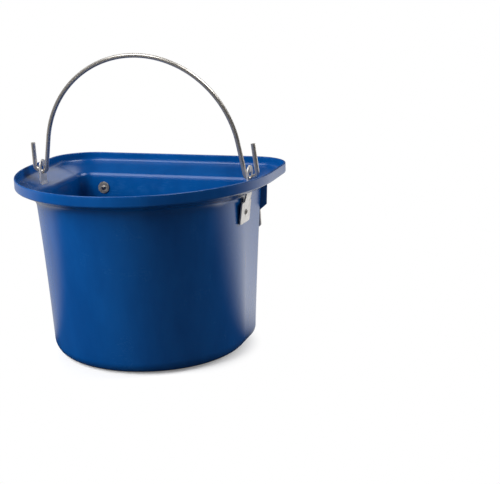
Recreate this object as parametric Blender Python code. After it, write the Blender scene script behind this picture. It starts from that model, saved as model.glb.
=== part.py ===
"""Portable feed trough: a D-shaped tub with a swinging wire bail and two hooks for a gate or rail.

Metres, +Z up. The origin is on the floor under the tub, on its left-right centre line, level with
the widest place of the rim. The round front faces -Y and the flat back, with the hooks, faces +Y.
"""
import math

import bmesh
import bpy
from mathutils import Matrix, Vector

# Clearance kept between pieces that touch
GAP = 0.0003

# Rim outline, at the outer face of the lip
RIM_HALF_WIDTH = 0.185
RIM_FRONT = 0.2143
RIM_BACK = 0.1169
RIM_CORNER = 0.058
RIM_HEIGHT = 0.260

# How far the rim stands out from the walls at its own height, and the lean of each wall
SIDE_OVERHANG = 0.0355
FRONT_OVERHANG = 0.0139
BACK_OVERHANG = 0.0317
WALL_CORNER = 0.022
BODY_CENTRE_Y = -0.0166
SIDE_DRAFT = math.radians(1.5)
FRONT_DRAFT = math.radians(9.8)
BACK_DRAFT = math.radians(6.6)

# Moulded section
WALL = 0.003
BASE_RADIUS = 0.021
FLANGE_SLOPE = math.radians(24)
FLARE_RADIUS = 0.004
EDGE_RADIUS = 0.008
LIP_THICKNESS = 0.003
LIP_DEPTH = 0.014
LIP_TOP_RADIUS = 0.0013
LIP_FOOT_RADIUS = 0.0025
CREASE_RADIUS = 0.007

# Fins that carry the rim at the back corners
FIN_TURN = math.radians(60)
FIN_THICKNESS = 0.0045
FIN_REACH = 0.010
FIN_TOP_REACH = 0.0015
FIN_HEIGHT = 0.049
FIN_CHAMFER = 0.009
FIN_ROOT = 0.001
FIN_SINK_SHARE = 0.25

# Bail wire
WIRE = 0.0065
BAIL_HEIGHT = 0.1692
BAIL_BEND_RADIUS = 0.007
BAIL_LEG_SPREAD = math.radians(10.5)
BAIL_FOOT_RISE = math.radians(32)
BAIL_FOOT = 0.0088
BAIL_KNEE_RADIUS = 0.006
BAIL_STUB_RIGHT = 0.0435
BAIL_STUB_LEFT = 0.037
BAIL_STUB_LEAN_RIGHT = math.radians(6)
BAIL_STUB_LEAN_LEFT = math.radians(1)
BAIL_REST_LEAN = math.radians(5)

# Ear plates
EAR_THICKNESS = 0.002
EAR_Y = -0.0256
EAR_TURN = math.radians(4)
EAR_NECK = 0.021
EAR_PAD_WIDTH = 0.035
EAR_PAD_HEIGHT = 0.031
EAR_PAD_OFFSET = 0.0023
EAR_PAD_CORNER = 0.0025
EAR_PAD_LEAN = math.radians(7)
EAR_NECK_LEAN = math.radians(16)
EAR_BEND_RADIUS = 0.003
EAR_TOP_RISE = 0.0115
EAR_KNEE_DROP = 0.0205
EAR_RIVET_BELOW_KNEE = 0.0331
EAR_STANDOFF = 0.0023
EYE_DIAMETER = 0.0125
EYE_BELOW_TOP = 0.0155
SLOT_CLEARANCE = 0.0007
SLOT_OVERRUN = 0.001

# Hooks of flat bar, and the strips they stand on
HOOK_INSET = 0.0757
HOOK_WIDTH = 0.020
HOOK_THICKNESS = 0.004
HOOK_TOP_DROP = 0.0275
HOOK_SPACE = 0.056
HOOK_LEG = 0.0925
HOOK_SPLAY = math.radians(7)
HOOK_BEND_RADIUS = 0.0045
HOOK_TIP_RADIUS = 0.004
STRIP_WIDTH = 0.022
STRIP_THICKNESS = 0.0045
HOOK_RIVET_BELOW_TOP = 0.0216
STRIP_RIVET_HEIGHT = 0.0389

# Rivets and washers
SHANK = 0.004
HEAD_DIAMETER = 0.0068
HEAD_HEIGHT = 0.0018
EAR_HEAD_DIAMETER = 0.0085
EAR_HEAD_HEIGHT = 0.0009
MANDREL_HOLE = 0.0032
MANDREL_DEPTH_SHARE = 0.8
HEAD_FLAT_SHARE = 0.6
HEAD_EDGE_SHARE = 0.35
WASHER_DIAMETER = 0.018
WASHER_THICKNESS = 0.0015

# Cutters, and how near two places are taken as one
DRILL_LENGTH = 0.024
END_FLAT = 0.0004
SAME_PLACE = 0.00001
SAME_STOP = 0.000001
NEARLY_STRAIGHT = math.radians(89.5)
SHARP_ANGLE = math.radians(35)

# Facets
JUNCTION_PASSES = 4
BASE_STEPS = 6
FLOOR_STEPS = 5
FLARE_STEPS = 3
LIP_STEPS = 2
CREASE_STEPS = 3
EDGE_STEPS = 4
FRONT_STEPS = 40
CORNER_STEPS = 8
ROUND_STEPS = 20
DOME_STEPS = 3
ARCH_STEPS = 32
BEND_STEPS = 16
KNEE_STEPS = 6
PLATE_BEND_STEPS = 4
BAR_BEND_STEPS = 5
ROUND_END_STEPS = 8
PAD_CORNER_STEPS = 3
TIP_CORNER_STEPS = 4
WIRE_RESOLUTION = 3

# Places that follow from the rim
SKIRT_HEIGHT = RIM_HEIGHT - LIP_DEPTH
EAR_TOP = RIM_HEIGHT + EAR_TOP_RISE
EAR_KNEE_HEIGHT = RIM_HEIGHT - EAR_KNEE_DROP
EAR_RIVET_HEIGHT = EAR_KNEE_HEIGHT - EAR_RIVET_BELOW_KNEE
HOOK_X = RIM_HALF_WIDTH - HOOK_INSET
HOOK_TOP = RIM_HEIGHT - HOOK_TOP_DROP
HOOK_RIVET_HEIGHT = HOOK_TOP - HOOK_RIVET_BELOW_TOP

# Fall of the rim's slope for each metre in, and its wall measured upright
FLANGE_FALL = math.tan(FLANGE_SLOPE)
FLANGE_LIFT = WALL / math.cos(FLANGE_SLOPE)

# Colour, roughness and metallic of each finish
FINISHES = {
    "blue_plastic": ((0.005, 0.065, 0.235), 0.28, 0),
    "blue_strip": ((0.005, 0.055, 0.2), 0.32, 0),
    "bright_steel": ((0.72, 0.71, 0.68), 0.3, 1),
    "brushed_steel": ((0.52, 0.48, 0.43), 0.42, 1),
    "satin_wire": ((0.42, 0.41, 0.40), 0.35, 1),
    "rivet_steel": ((0.6, 0.58, 0.55), 0.35, 1),
    "washer_steel": ((0.3, 0.3, 0.3), 0.45, 1),
}

SIDES = (("left", -1), ("right", 1))


def material(name):
    colour, roughness, metallic = FINISHES[name]
    made = bpy.data.materials.new(name)
    made.use_nodes = True
    made.diffuse_color = (*colour, 1)
    shader = made.node_tree.nodes["Principled BSDF"]
    shader.inputs["Base Color"].default_value = (*colour, 1)
    shader.inputs["Roughness"].default_value = roughness
    shader.inputs["Metallic"].default_value = metallic
    return made


def solid(name, mesh_builder, finish, place=None):
    """A named object from a bmesh, its faces turned outwards and shaded smooth but for sharp edges."""
    bmesh.ops.recalc_face_normals(mesh_builder, faces=mesh_builder.faces[:])
    mesh = bpy.data.meshes.new(name)
    mesh_builder.to_mesh(mesh)
    mesh_builder.free()
    mesh.shade_smooth()
    mesh.set_sharp_from_angle(angle=SHARP_ANGLE)
    return put(name, mesh, finish, place)


def put(name, data, finish, place=None):
    made = bpy.data.objects.new(name, data)
    bpy.context.scene.collection.objects.link(made)
    if place is not None:
        made.matrix_world = place
    if finish:
        data.materials.append(finish)
    return made


def hide(helper):
    helper.hide_render = True
    helper.display_type = "WIRE"
    return helper


def boolean(target, helper, operation):
    step = target.modifiers.new(helper.name, "BOOLEAN")
    step.operation = operation
    step.solver = "EXACT"
    step.object = hide(helper)


# Plan outline of the tub
def d_outline(half_width, front, back, corner, centre_y):
    """A half ellipse round the front, straight sides, round back corners and a flat back."""
    points = []
    for step in range(FRONT_STEPS + 1):
        turn = math.pi * step / FRONT_STEPS
        points.append(Vector((half_width * math.cos(turn), centre_y - front * math.sin(turn))))
    for side, start in ((-1, math.pi), (1, math.pi / 2)):
        centre = Vector((side * (half_width - corner), centre_y + back - corner))
        for step in range(CORNER_STEPS + 1):
            turn = start - math.pi / 2 * step / CORNER_STEPS
            points.append(centre + corner * Vector((math.cos(turn), math.sin(turn))))
    return points


def wall_half_width(height):
    return RIM_HALF_WIDTH - SIDE_OVERHANG - (RIM_HEIGHT - height) * math.tan(SIDE_DRAFT)


def wall_front(height):
    """Reach of the wall to the front, from the centre line of the body."""
    return RIM_FRONT + BODY_CENTRE_Y - FRONT_OVERHANG - (RIM_HEIGHT - height) * math.tan(FRONT_DRAFT)


def wall_back(height):
    """Reach of the wall to the back, from the centre line of the body."""
    return RIM_BACK - BODY_CENTRE_Y - BACK_OVERHANG - (RIM_HEIGHT - height) * math.tan(BACK_DRAFT)


outlines = {}


def wall_outline(height):
    """Outline of the wall's outer face at this height, drawn once for each height."""
    height = round(height, 7)
    if height not in outlines:
        outlines[height] = d_outline(
            wall_half_width(height), wall_front(height), wall_back(height), WALL_CORNER, BODY_CENTRE_Y
        )
    return outlines[height]


def back_face_y(height):
    """Where the flat outer face of the back lies at this height."""
    return BODY_CENTRE_Y + wall_back(height)


def back_junction():
    """Height at which the underside of the rim meets the outer face of the back."""
    reach = RIM_BACK - back_face_y(0)
    return (SKIRT_HEIGHT - reach * FLANGE_FALL) / (1 - math.tan(BACK_DRAFT) * FLANGE_FALL)


def side_face(y, height):
    """Half width of the outer face at this y, forward of the widest place."""
    share = (y - BODY_CENTRE_Y) / wall_front(height)
    return wall_half_width(height) * math.sqrt(1 - share * share)


def side_yaw(y, height):
    """Angle by which the outer face turns from the side towards the front at this y."""
    share = (BODY_CENTRE_Y - y) / wall_front(height)
    slope = wall_half_width(height) * share / (wall_front(height) * math.sqrt(1 - share * share))
    return math.atan(slope)


# Moulded section of the tub
def fillet(before, corner, after, radius, steps):
    """Points of an arc that rounds a corner of a section."""
    inward = (before - corner).normalized()
    onward = (after - corner).normalized()
    half = inward.angle(onward) / 2
    if radius <= 0 or half > NEARLY_STRAIGHT:
        return [corner] * (steps + 1)
    centre = corner + (inward + onward).normalized() * radius / math.sin(half)
    start = corner + inward * radius / math.tan(half) - centre
    sweep = math.pi - 2 * half
    turn = 1 if inward.x * onward.y - inward.y * onward.x < 0 else -1
    points = []
    for step in range(steps + 1):
        angle = turn * sweep * step / steps
        cos, sin = math.cos(angle), math.sin(angle)
        points.append(centre + Vector((start.x * cos - start.y * sin, start.x * sin + start.y * cos)))
    return points


class Station:
    """One place along the outline, where the section is drawn as distance in from the rim, and height."""

    def __init__(self, index, rim_point):
        self.index = index
        self.rim = rim_point

    def wall_point(self, height):
        return wall_outline(height)[self.index]

    def overhang(self, height):
        return (self.rim - self.wall_point(height)).length

    def place(self, inset, height):
        plan = self.rim + (self.wall_point(height) - self.rim) * (inset / self.overhang(height))
        return Vector((plan.x, plan.y, height))

    def junction(self):
        """Height at which the flange's underside meets the outer face of the wall."""
        height = SKIRT_HEIGHT
        for _ in range(JUNCTION_PASSES):
            height = SKIRT_HEIGHT - self.overhang(height) * FLANGE_FALL
        return height

    def section(self):
        low, join = 0.0, self.junction()
        inner_join = join - WALL * FLANGE_FALL + FLANGE_LIFT
        foot = SKIRT_HEIGHT - LIP_THICKNESS * FLANGE_FALL + FLANGE_LIFT
        start = Vector((self.overhang(low) + BASE_RADIUS * 2, low))
        end = Vector((self.overhang(WALL) + WALL + BASE_RADIUS * 2, WALL))
        corners = (
            (Vector((self.overhang(low), low)), BASE_RADIUS, BASE_STEPS),
            (Vector((self.overhang(join), join)), FLARE_RADIUS, FLARE_STEPS),
            (Vector((0, SKIRT_HEIGHT)), LIP_FOOT_RADIUS, LIP_STEPS),
            (Vector((0, RIM_HEIGHT)), LIP_TOP_RADIUS, LIP_STEPS),
            (Vector((LIP_THICKNESS, RIM_HEIGHT)), LIP_TOP_RADIUS, LIP_STEPS),
            (Vector((LIP_THICKNESS, foot)), CREASE_RADIUS, CREASE_STEPS),
            (Vector((self.overhang(inner_join) + WALL, inner_join)), EDGE_RADIUS, EDGE_STEPS),
            (Vector((self.overhang(WALL) + WALL, WALL)), BASE_RADIUS - WALL, FLOOR_STEPS),
        )
        path = [start] + [corner for corner, _, _ in corners] + [end]
        points = []
        for number, (corner, radius, steps) in enumerate(corners, 1):
            points += fillet(path[number - 1], corner, path[number + 1], radius, steps)
        return [self.place(point.x, point.y) for point in points]


def skin(rings):
    """A closed mesh over rings of equally many points, with a flat face on each end."""
    made = bmesh.new()
    loops = [[made.verts.new(point) for point in ring] for ring in rings]
    count = len(loops[0])
    for lower, upper in zip(loops, loops[1:]):
        for side in range(count):
            after = (side + 1) % count
            made.faces.new((lower[side], lower[after], upper[after], upper[side]))
    made.faces.new(loops[0])
    made.faces.new(loops[-1])
    return made


def frame_matrix(origin, across, up, out):
    """Placement whose local X, Y and Z run along the three directions."""
    turn = Matrix((across, up, out)).transposed().to_4x4()
    return Matrix.Translation(origin) @ turn


# Turned pieces
def turned(name, profile, finish, place):
    """A closed turned solid from (radius, height) points that start and end on the axis."""
    made = bmesh.new()
    rings = []
    for radius, height in profile:
        if radius == 0:
            rings.append([made.verts.new((0, 0, height))])
            continue
        rings.append([
            made.verts.new((radius * math.cos(turn), radius * math.sin(turn), height))
            for turn in (2 * math.pi * step / ROUND_STEPS for step in range(ROUND_STEPS))
        ])
    for lower, upper in zip(rings, rings[1:]):
        for side in range(ROUND_STEPS):
            after = (side + 1) % ROUND_STEPS
            if len(lower) == 1:
                made.faces.new((lower[0], upper[side], upper[after]))
            elif len(upper) == 1:
                made.faces.new((lower[side], lower[after], upper[0]))
            else:
                made.faces.new((lower[side], lower[after], upper[after], upper[side]))
    return solid(name, made, finish, place)


def dome(radius, base, rise):
    """Profile of a low dome, from its edge to its crown."""
    points = []
    for step in range(DOME_STEPS):
        angle = math.pi / 2 * step / DOME_STEPS
        points.append((radius * math.cos(angle), base + rise * math.sin(angle)))
    return points + [(0, base + rise)]


def washer(name, finish, place):
    """A ring that lies on the inside of the wall, under a rivet's inner head."""
    outer, inner = WASHER_DIAMETER / 2, SHANK / 2 + GAP
    made = bmesh.new()
    section = ((inner, 0), (outer, 0), (outer, WASHER_THICKNESS), (inner, WASHER_THICKNESS))
    rings = []
    for step in range(ROUND_STEPS):
        turn = 2 * math.pi * step / ROUND_STEPS
        rings.append([made.verts.new((r * math.cos(turn), r * math.sin(turn), h)) for r, h in section])
    for step, ring in enumerate(rings):
        following = rings[(step + 1) % ROUND_STEPS]
        for side in range(len(section)):
            after = (side + 1) % len(section)
            made.faces.new((ring[side], ring[after], following[after], following[side]))
    return solid(name, made, finish, place)


def drill(diameter, place):
    """A closed cylinder for cutting a hole, centred on its place along local Z."""
    made = bmesh.new()
    bmesh.ops.create_cone(
        made,
        cap_ends=True,
        segments=ROUND_STEPS,
        radius1=diameter / 2,
        radius2=diameter / 2,
        depth=DRILL_LENGTH,
    )
    made.transform(place)
    return made


def box(low, high, place):
    made = bmesh.new()
    bmesh.ops.create_cube(made, size=1)
    centre = (Vector(low) + Vector(high)) / 2
    size = Vector(high) - Vector(low)
    made.transform(place @ Matrix.Translation(centre) @ Matrix.Diagonal((*size, 1)))
    return made


def joined(name, shapes):
    """One hidden helper made of several separate closed shapes."""
    whole = bmesh.new()
    for shape in shapes:
        scratch = bpy.data.meshes.new("scratch")
        shape.to_mesh(scratch)
        shape.free()
        whole.from_mesh(scratch)
        bpy.data.meshes.remove(scratch)
    return hide(solid(name, whole, None))


# Frames on the tub
def ear_frame(side):
    """Placement of an ear plate's inner face at its rivet: X across, Y upright, Z level outwards."""
    rivet_y = EAR_Y - side * EAR_PAD_OFFSET
    out = Vector((side * math.cos(EAR_TURN), -math.sin(EAR_TURN), 0))
    up = Vector((0, 0, 1))
    face = Vector((side * side_face(rivet_y, EAR_RIVET_HEIGHT), rivet_y, EAR_RIVET_HEIGHT))
    return frame_matrix(face + out * EAR_STANDOFF, up.cross(out), up, out)


def pad_frame(side):
    """The same place, leaning with the pad, so that local Z is the pad's normal."""
    return ear_frame(side) @ Matrix.Rotation(EAR_PAD_LEAN, 4, "X")


def ear_corners():
    """Corners of the plate's inner face in side view, as (out, up) from its rivet, top first."""
    pad = Vector((math.sin(EAR_PAD_LEAN), math.cos(EAR_PAD_LEAN))) * EAR_PAD_HEIGHT / 2
    knee_up = EAR_KNEE_HEIGHT - EAR_RIVET_HEIGHT
    knee = Vector((pad.x + (knee_up - pad.y) * math.tan(EAR_NECK_LEAN), knee_up))
    return [Vector((knee.x, EAR_TOP - EAR_RIVET_HEIGHT)), knee, pad, -pad]


def eye_shift(side):
    """How far along the plate its neck and eye stand from its rivet."""
    place = ear_frame(side)
    start = place @ Vector((0, 0, ear_corners()[0].x + EAR_THICKNESS / 2))
    along = place.to_3x3() @ Vector((1, 0, 0))
    return (EAR_Y - start.y) / along.y


def eye_centre(side):
    """Centre of the eye in the plate's own frame."""
    top = ear_corners()[0]
    return Vector((eye_shift(side), top.y - EYE_BELOW_TOP, top.x + EAR_THICKNESS / 2))


def back_frame(x, height):
    """Placement on the outer face of the back: X across, Y up the slope, Z outwards."""
    up = Vector((0, math.sin(BACK_DRAFT), math.cos(BACK_DRAFT)))
    out = Vector((0, math.cos(BACK_DRAFT), -math.sin(BACK_DRAFT)))
    return frame_matrix(Vector((x, back_face_y(height), height)), up.cross(out), up, out)


# Tub
def fin(side):
    """An upright rib that carries the rim from a back corner of the wall."""
    away = Vector((side * math.sin(FIN_TURN), math.cos(FIN_TURN)))
    half = Vector((away.y, -away.x)) * FIN_THICKNESS / 2
    rim_centre = Vector((side * (RIM_HALF_WIDTH - RIM_CORNER), RIM_BACK - RIM_CORNER))
    shoulder = SKIRT_HEIGHT - FIN_HEIGHT
    foot = shoulder - FIN_CHAMFER

    def corner_centre(height):
        return Vector((side * (wall_half_width(height) - WALL_CORNER), back_face_y(height) - WALL_CORNER))

    def root(height):
        along = (corner_centre(height) - corner_centre(shoulder)).dot(away) + WALL_CORNER - FIN_ROOT
        return corner_centre(shoulder) + away * along

    def under_rim(point):
        reach = (point - rim_centre).length
        return SKIRT_HEIGHT - (RIM_CORNER - reach) * FLANGE_FALL + FLANGE_LIFT * FIN_SINK_SHARE

    tip = root(shoulder) + away * (FIN_ROOT + FIN_REACH)
    top_tip = tip + away * FIN_TOP_REACH
    top_root = root(under_rim(root(shoulder)))
    outline = (
        (root(foot), foot), (tip, shoulder), (top_tip, under_rim(top_tip)), (top_root, under_rim(top_root)),
    )
    made = bmesh.new()
    loops = [[made.verts.new((*(spot + shift), height)) for spot, height in outline] for shift in (half, -half)]
    for loop in loops:
        made.faces.new(loop)
    count = len(outline)
    for corner in range(count):
        after = (corner + 1) % count
        made.faces.new((loops[0][corner], loops[0][after], loops[1][after], loops[1][corner]))
    bmesh.ops.recalc_face_normals(made, faces=made.faces[:])
    return made


def build_tub(finish):
    rim = d_outline(RIM_HALF_WIDTH, RIM_FRONT, RIM_BACK, RIM_CORNER, 0)
    sections = [Station(index, point).section() for index, point in enumerate(rim)]
    tub = solid("tub", skin(list(zip(*sections))), finish)
    fins = joined("tub_fins", [fin(side) for _, side in SIDES])
    boolean(tub, fins, "UNION")
    cutters = []
    for _, side in SIDES:
        knee = ear_corners()[1]
        neck = ear_frame(side) @ Matrix.Translation((eye_shift(side), knee.y, knee.x))
        half = EAR_NECK / 2 + SLOT_CLEARANCE
        cutters.append(box(
            (-half, -EAR_NECK, -SLOT_CLEARANCE),
            (half, SLOT_OVERRUN, EAR_THICKNESS + SLOT_CLEARANCE),
            neck @ Matrix.Rotation(EAR_NECK_LEAN, 4, "X"),
        ))
        cutters.append(drill(SHANK + 2 * GAP, pad_frame(side)))
        for height in (HOOK_RIVET_HEIGHT, STRIP_RIVET_HEIGHT):
            cutters.append(drill(SHANK + 2 * GAP, back_frame(side * HOOK_X, height)))
    boolean(tub, joined("tub_holes", cutters), "DIFFERENCE")
    return tub


# Flat bar
def rounded_end(radius, steps):
    """How far in from its corners the outline of a rounded end lies, as (distance from the end, inset)."""
    turns = [math.pi / 2 * step / steps for step in range(steps + 1)]
    flat = radius - END_FLAT
    return [(radius * (1 - math.cos(turn)), min(radius * (1 - math.sin(turn)), flat)) for turn in turns]


def bar(path, thickness, stops):
    """Flat bar bent along a path of (out, up) points and lying to its left, its edges given at stops."""
    lengths = [0.0]
    for first, second in zip(path, path[1:]):
        lengths.append(lengths[-1] + (second - first).length)
    marks = []
    for mark in sorted(lengths + [stop[0] for stop in stops]):
        if not marks or mark - marks[-1] > SAME_PLACE:
            marks.append(mark)
    rings = []
    for mark in marks:
        after = min(range(1, len(path)), key=lambda k: (lengths[k] < mark - SAME_PLACE, k))
        first, second = path[after - 1], path[after]
        share = (mark - lengths[after - 1]) / (lengths[after] - lengths[after - 1])
        point = first + (second - first) * share
        here = (second - first).normalized()
        spread = 1.0
        if abs(mark - lengths[after]) < 2 * SAME_PLACE and after + 1 < len(path):
            onward = (path[after + 1] - second).normalized()
            point = second
            middle = (here + onward).normalized()
            spread = 1 / middle.dot(here)
            here = middle
        far = point + Vector((-here.y, here.x)) * thickness * spread
        upper = min(range(1, len(stops)), key=lambda k: (stops[k][0] < mark - SAME_STOP, k))
        low, high = stops[upper - 1], stops[upper]
        share = min(max((mark - low[0]) / (high[0] - low[0]), 0), 1)
        edges = [low[side] + (high[side] - low[side]) * share for side in (1, 2)]
        rings.append([
            (edges[0], *point), (edges[1], *point), (edges[1], *far), (edges[0], *far),
        ])
    return skin(rings)


def path_length(path):
    return sum((second - first).length for first, second in zip(path, path[1:]))


# Ear plates
def build_ear(name, side, finish):
    """A bent plate: a wide riveted pad, a neck that passes up through the rim, and an eye for the bail."""
    top, knee, shoulder, foot = ear_corners()
    path = [top] + fillet(top, knee, shoulder, EAR_BEND_RADIUS, PLATE_BEND_STEPS)
    path += fillet(knee, shoulder, foot, EAR_BEND_RADIUS, PLATE_BEND_STEPS) + [foot]
    neck, pad, shift = EAR_NECK / 2, EAR_PAD_WIDTH / 2, eye_shift(side)
    whole = path_length(path)
    pad_start = whole - EAR_PAD_HEIGHT
    corner = rounded_end(EAR_PAD_CORNER, PAD_CORNER_STEPS)
    round_top = rounded_end(neck, ROUND_END_STEPS)
    stops = [(far, shift - neck + inset, shift + neck - inset) for far, inset in round_top]
    stops.append((pad_start - GAP, shift - neck, shift + neck))
    stops += [(pad_start + far, inset - pad, pad - inset) for far, inset in corner]
    stops += [(whole - far, inset - pad, pad - inset) for far, inset in reversed(corner)]
    shape = bar(path, EAR_THICKNESS, stops)
    shape.transform(Matrix(((1, 0, 0, 0), (0, 0, 1, 0), (0, 1, 0, 0), (0, 0, 0, 1))))
    plate = solid(name, shape, finish, ear_frame(side))
    holes = joined(name + "_holes", [
        drill(EYE_DIAMETER, ear_frame(side) @ Matrix.Translation(eye_centre(side))),
        drill(SHANK + 2 * GAP, pad_frame(side)),
    ])
    boolean(plate, holes, "DIFFERENCE")
    return plate


def ear_inner_seat(side):
    """How far in from the pad's inner face the rivet's washer clears the inside of the wall."""
    rivet_y = EAR_Y - side * EAR_PAD_OFFSET
    turn = EAR_TURN - side_yaw(rivet_y, EAR_RIVET_HEIGHT)
    tilt = math.hypot(EAR_PAD_LEAN - SIDE_DRAFT, turn)
    sag = (WASHER_DIAMETER / 2) ** 2 / RIM_HALF_WIDTH / 2
    return (EAR_STANDOFF + WALL) / math.cos(tilt) + WASHER_DIAMETER / 2 * math.tan(tilt) + sag


def build_ear_fastening(name, side, rivet_finish, washer_finish):
    place = pad_frame(side)
    seat = ear_inner_seat(side) + GAP
    top = EAR_THICKNESS + GAP
    radius, mandrel = EAR_HEAD_DIAMETER / 2, MANDREL_HOLE / 2
    crown = top + EAR_HEAD_HEIGHT
    inner = -seat - WASHER_THICKNESS - GAP
    profile = [
        (0, crown - EAR_HEAD_HEIGHT * MANDREL_DEPTH_SHARE),
        (mandrel, crown - EAR_HEAD_HEIGHT * MANDREL_DEPTH_SHARE),
        (mandrel, crown),
        (radius * HEAD_FLAT_SHARE, crown),
        (radius, top + EAR_HEAD_HEIGHT * HEAD_EDGE_SHARE),
        (radius, top),
        (SHANK / 2, top),
        (SHANK / 2, inner),
    ]
    profile += dome(HEAD_DIAMETER / 2, inner, -HEAD_HEIGHT)
    turned("ear_rivet_" + name, profile, rivet_finish, place)
    flip = place @ Matrix.Translation((0, 0, -seat)) @ Matrix.Rotation(math.pi, 4, "X")
    washer("ear_washer_" + name, washer_finish, flip)


# Bail
def bail_axis():
    """Half the distance between the plates, and the height of the wire in the bottom of the eyes."""
    centre = ear_frame(1) @ eye_centre(1)
    return centre.x, centre.z - (EYE_DIAMETER - WIRE) / 2 + GAP


def bail_path():
    """Centre line of the wire in the plane of the bail, as (across, up) from its axis."""
    spread, rise, bend = BAIL_LEG_SPREAD, BAIL_FOOT_RISE, BAIL_BEND_RADIUS
    eye_x = bail_axis()[0]
    leg = Vector((eye_x - bend * math.cos(spread), bend * (1 - math.sin(spread))))
    drop = leg.x * math.cos(spread) + (leg.y - BAIL_HEIGHT) * math.sin(spread)
    radius = drop / (1 - math.sin(spread))
    heel = Vector((eye_x + bend * math.sin(rise), bend * (1 - math.cos(rise))))
    knee = heel + BAIL_FOOT * Vector((math.cos(rise), math.sin(rise)))

    def half(stub, lean):
        tip = knee + stub * Vector((-math.sin(lean), math.cos(lean)))
        points = [tip] + fillet(tip, knee, heel, BAIL_KNEE_RADIUS, KNEE_STEPS)
        limit = rise + math.pi / 2 - spread
        for step in range(BEND_STEPS + 1):
            turn = rise - limit * step / BEND_STEPS
            points.append(Vector((eye_x + bend * math.sin(turn), bend * (1 - math.cos(turn)))))
        for step in range(ARCH_STEPS // 2 + 1):
            turn = spread + (math.pi / 2 - spread) * step / (ARCH_STEPS // 2)
            points.append(Vector((radius * math.cos(turn), BAIL_HEIGHT - radius + radius * math.sin(turn))))
        return points

    left = half(BAIL_STUB_LEFT, BAIL_STUB_LEAN_LEFT)[:-1]
    return half(BAIL_STUB_RIGHT, BAIL_STUB_LEAN_RIGHT) + [Vector((-point.x, point.y)) for point in reversed(left)]


def build_bail(finish):
    """Round wire swept along the arch, its legs, the bends through the eyes and the short upright ends."""
    curve = bpy.data.curves.new("bail", "CURVE")
    curve.dimensions = "3D"
    curve.bevel_depth = WIRE / 2
    curve.bevel_resolution = WIRE_RESOLUTION
    curve.use_fill_caps = True
    path = bail_path()
    spline = curve.splines.new("POLY")
    spline.points.add(len(path) - 1)
    for point, target in zip(path, spline.points):
        target.co = (point.x, 0, point.y, 1)
    axis = Matrix.Translation((0, EAR_Y, bail_axis()[1]))
    return put("bail", curve, finish, axis @ Matrix.Rotation(BAIL_REST_LEAN, 4, "X"))


# Hooks and strips
def hook_path():
    """Inner face of the hook in side view, from the end of its wall leg to the end of its free leg."""
    leg_foot = HOOK_RIVET_HEIGHT - HOOK_WIDTH / 2
    seat = back_frame(0, HOOK_RIVET_HEIGHT) @ Vector((0, 0, STRIP_THICKNESS + 2 * GAP + HOOK_THICKNESS))
    up = Vector((math.sin(BACK_DRAFT), math.cos(BACK_DRAFT)))
    on_leg = Vector((seat.y, seat.z))
    under = HOOK_TOP - HOOK_THICKNESS
    foot = on_leg + up * (leg_foot - on_leg.y) / up.y
    corner = on_leg + up * (under - on_leg.y) / up.y
    elbow = Vector((corner.x + HOOK_SPACE, under))
    down = Vector((math.sin(HOOK_SPLAY), -math.cos(HOOK_SPLAY)))
    tip = elbow + down * (HOOK_LEG - HOOK_THICKNESS)
    path = [foot]
    path += fillet(foot, corner, elbow, HOOK_BEND_RADIUS, BAR_BEND_STEPS)
    path += fillet(corner, elbow, tip, HOOK_BEND_RADIUS, BAR_BEND_STEPS)
    path.append(tip)
    return path


def build_hook(name, side, finish):
    """Flat bar bent twice: a short leg riveted to the strip, an arm, and a long free leg."""
    path, half = hook_path(), HOOK_WIDTH / 2
    whole = path_length(path)
    stops = [(far, inset - half, half - inset) for far, inset in rounded_end(half, ROUND_END_STEPS)]
    tip = rounded_end(HOOK_TIP_RADIUS, TIP_CORNER_STEPS)
    stops += [(whole - far, inset - half, half - inset) for far, inset in reversed(tip)]
    made = bar(path, HOOK_THICKNESS, stops)
    hook = solid(name, made, finish, Matrix.Translation((side * HOOK_X, 0, 0)))
    hole = joined(name + "_hole", [
        drill(SHANK + 2 * GAP, back_frame(side * HOOK_X, HOOK_RIVET_HEIGHT))
    ])
    boolean(hook, hole, "DIFFERENCE")
    return hook


def build_strip(name, side, finish):
    """Wear strip up the back, riveted at both ends, that the hook's short leg lies on."""
    up = Vector((math.sin(BACK_DRAFT), math.cos(BACK_DRAFT)))
    foot_height = STRIP_RIVET_HEIGHT - STRIP_WIDTH / 2
    seat = back_frame(0, foot_height) @ Vector((0, 0, GAP + STRIP_THICKNESS))
    foot = Vector((seat.y, seat.z))
    path = [foot, foot + up * (back_junction() - FLARE_RADIUS - foot_height)]
    half, whole = STRIP_WIDTH / 2, path_length(path)
    stops = [(far, inset - half, half - inset) for far, inset in rounded_end(half, ROUND_END_STEPS)]
    stops.append((whole, -half, half))
    made = bar(path, STRIP_THICKNESS, stops)
    strip = solid(name, made, finish, Matrix.Translation((side * HOOK_X, 0, 0)))
    holes = joined(name + "_holes", [
        drill(SHANK + 2 * GAP, back_frame(side * HOOK_X, height))
        for height in (HOOK_RIVET_HEIGHT, STRIP_RIVET_HEIGHT)
    ])
    boolean(strip, holes, "DIFFERENCE")
    return strip


def build_back_fastening(name, side, height, stack, rivet_finish, washer_finish):
    """A rivet through the back with a domed head on each side and a washer inside."""
    place = back_frame(side * HOOK_X, height)
    outer = stack + GAP
    inner = -WALL - GAP - WASHER_THICKNESS - GAP
    radius = HEAD_DIAMETER / 2
    profile = list(reversed(dome(radius, outer, HEAD_HEIGHT)))
    profile += [(SHANK / 2, outer), (SHANK / 2, inner)]
    profile += dome(radius, inner, -HEAD_HEIGHT)
    turned(name.replace("_", "_rivet_"), profile, rivet_finish, place)
    flip = place @ Matrix.Translation((0, 0, -WALL - GAP)) @ Matrix.Rotation(math.pi, 4, "X")
    washer(name.replace("_", "_washer_"), washer_finish, flip)


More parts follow.
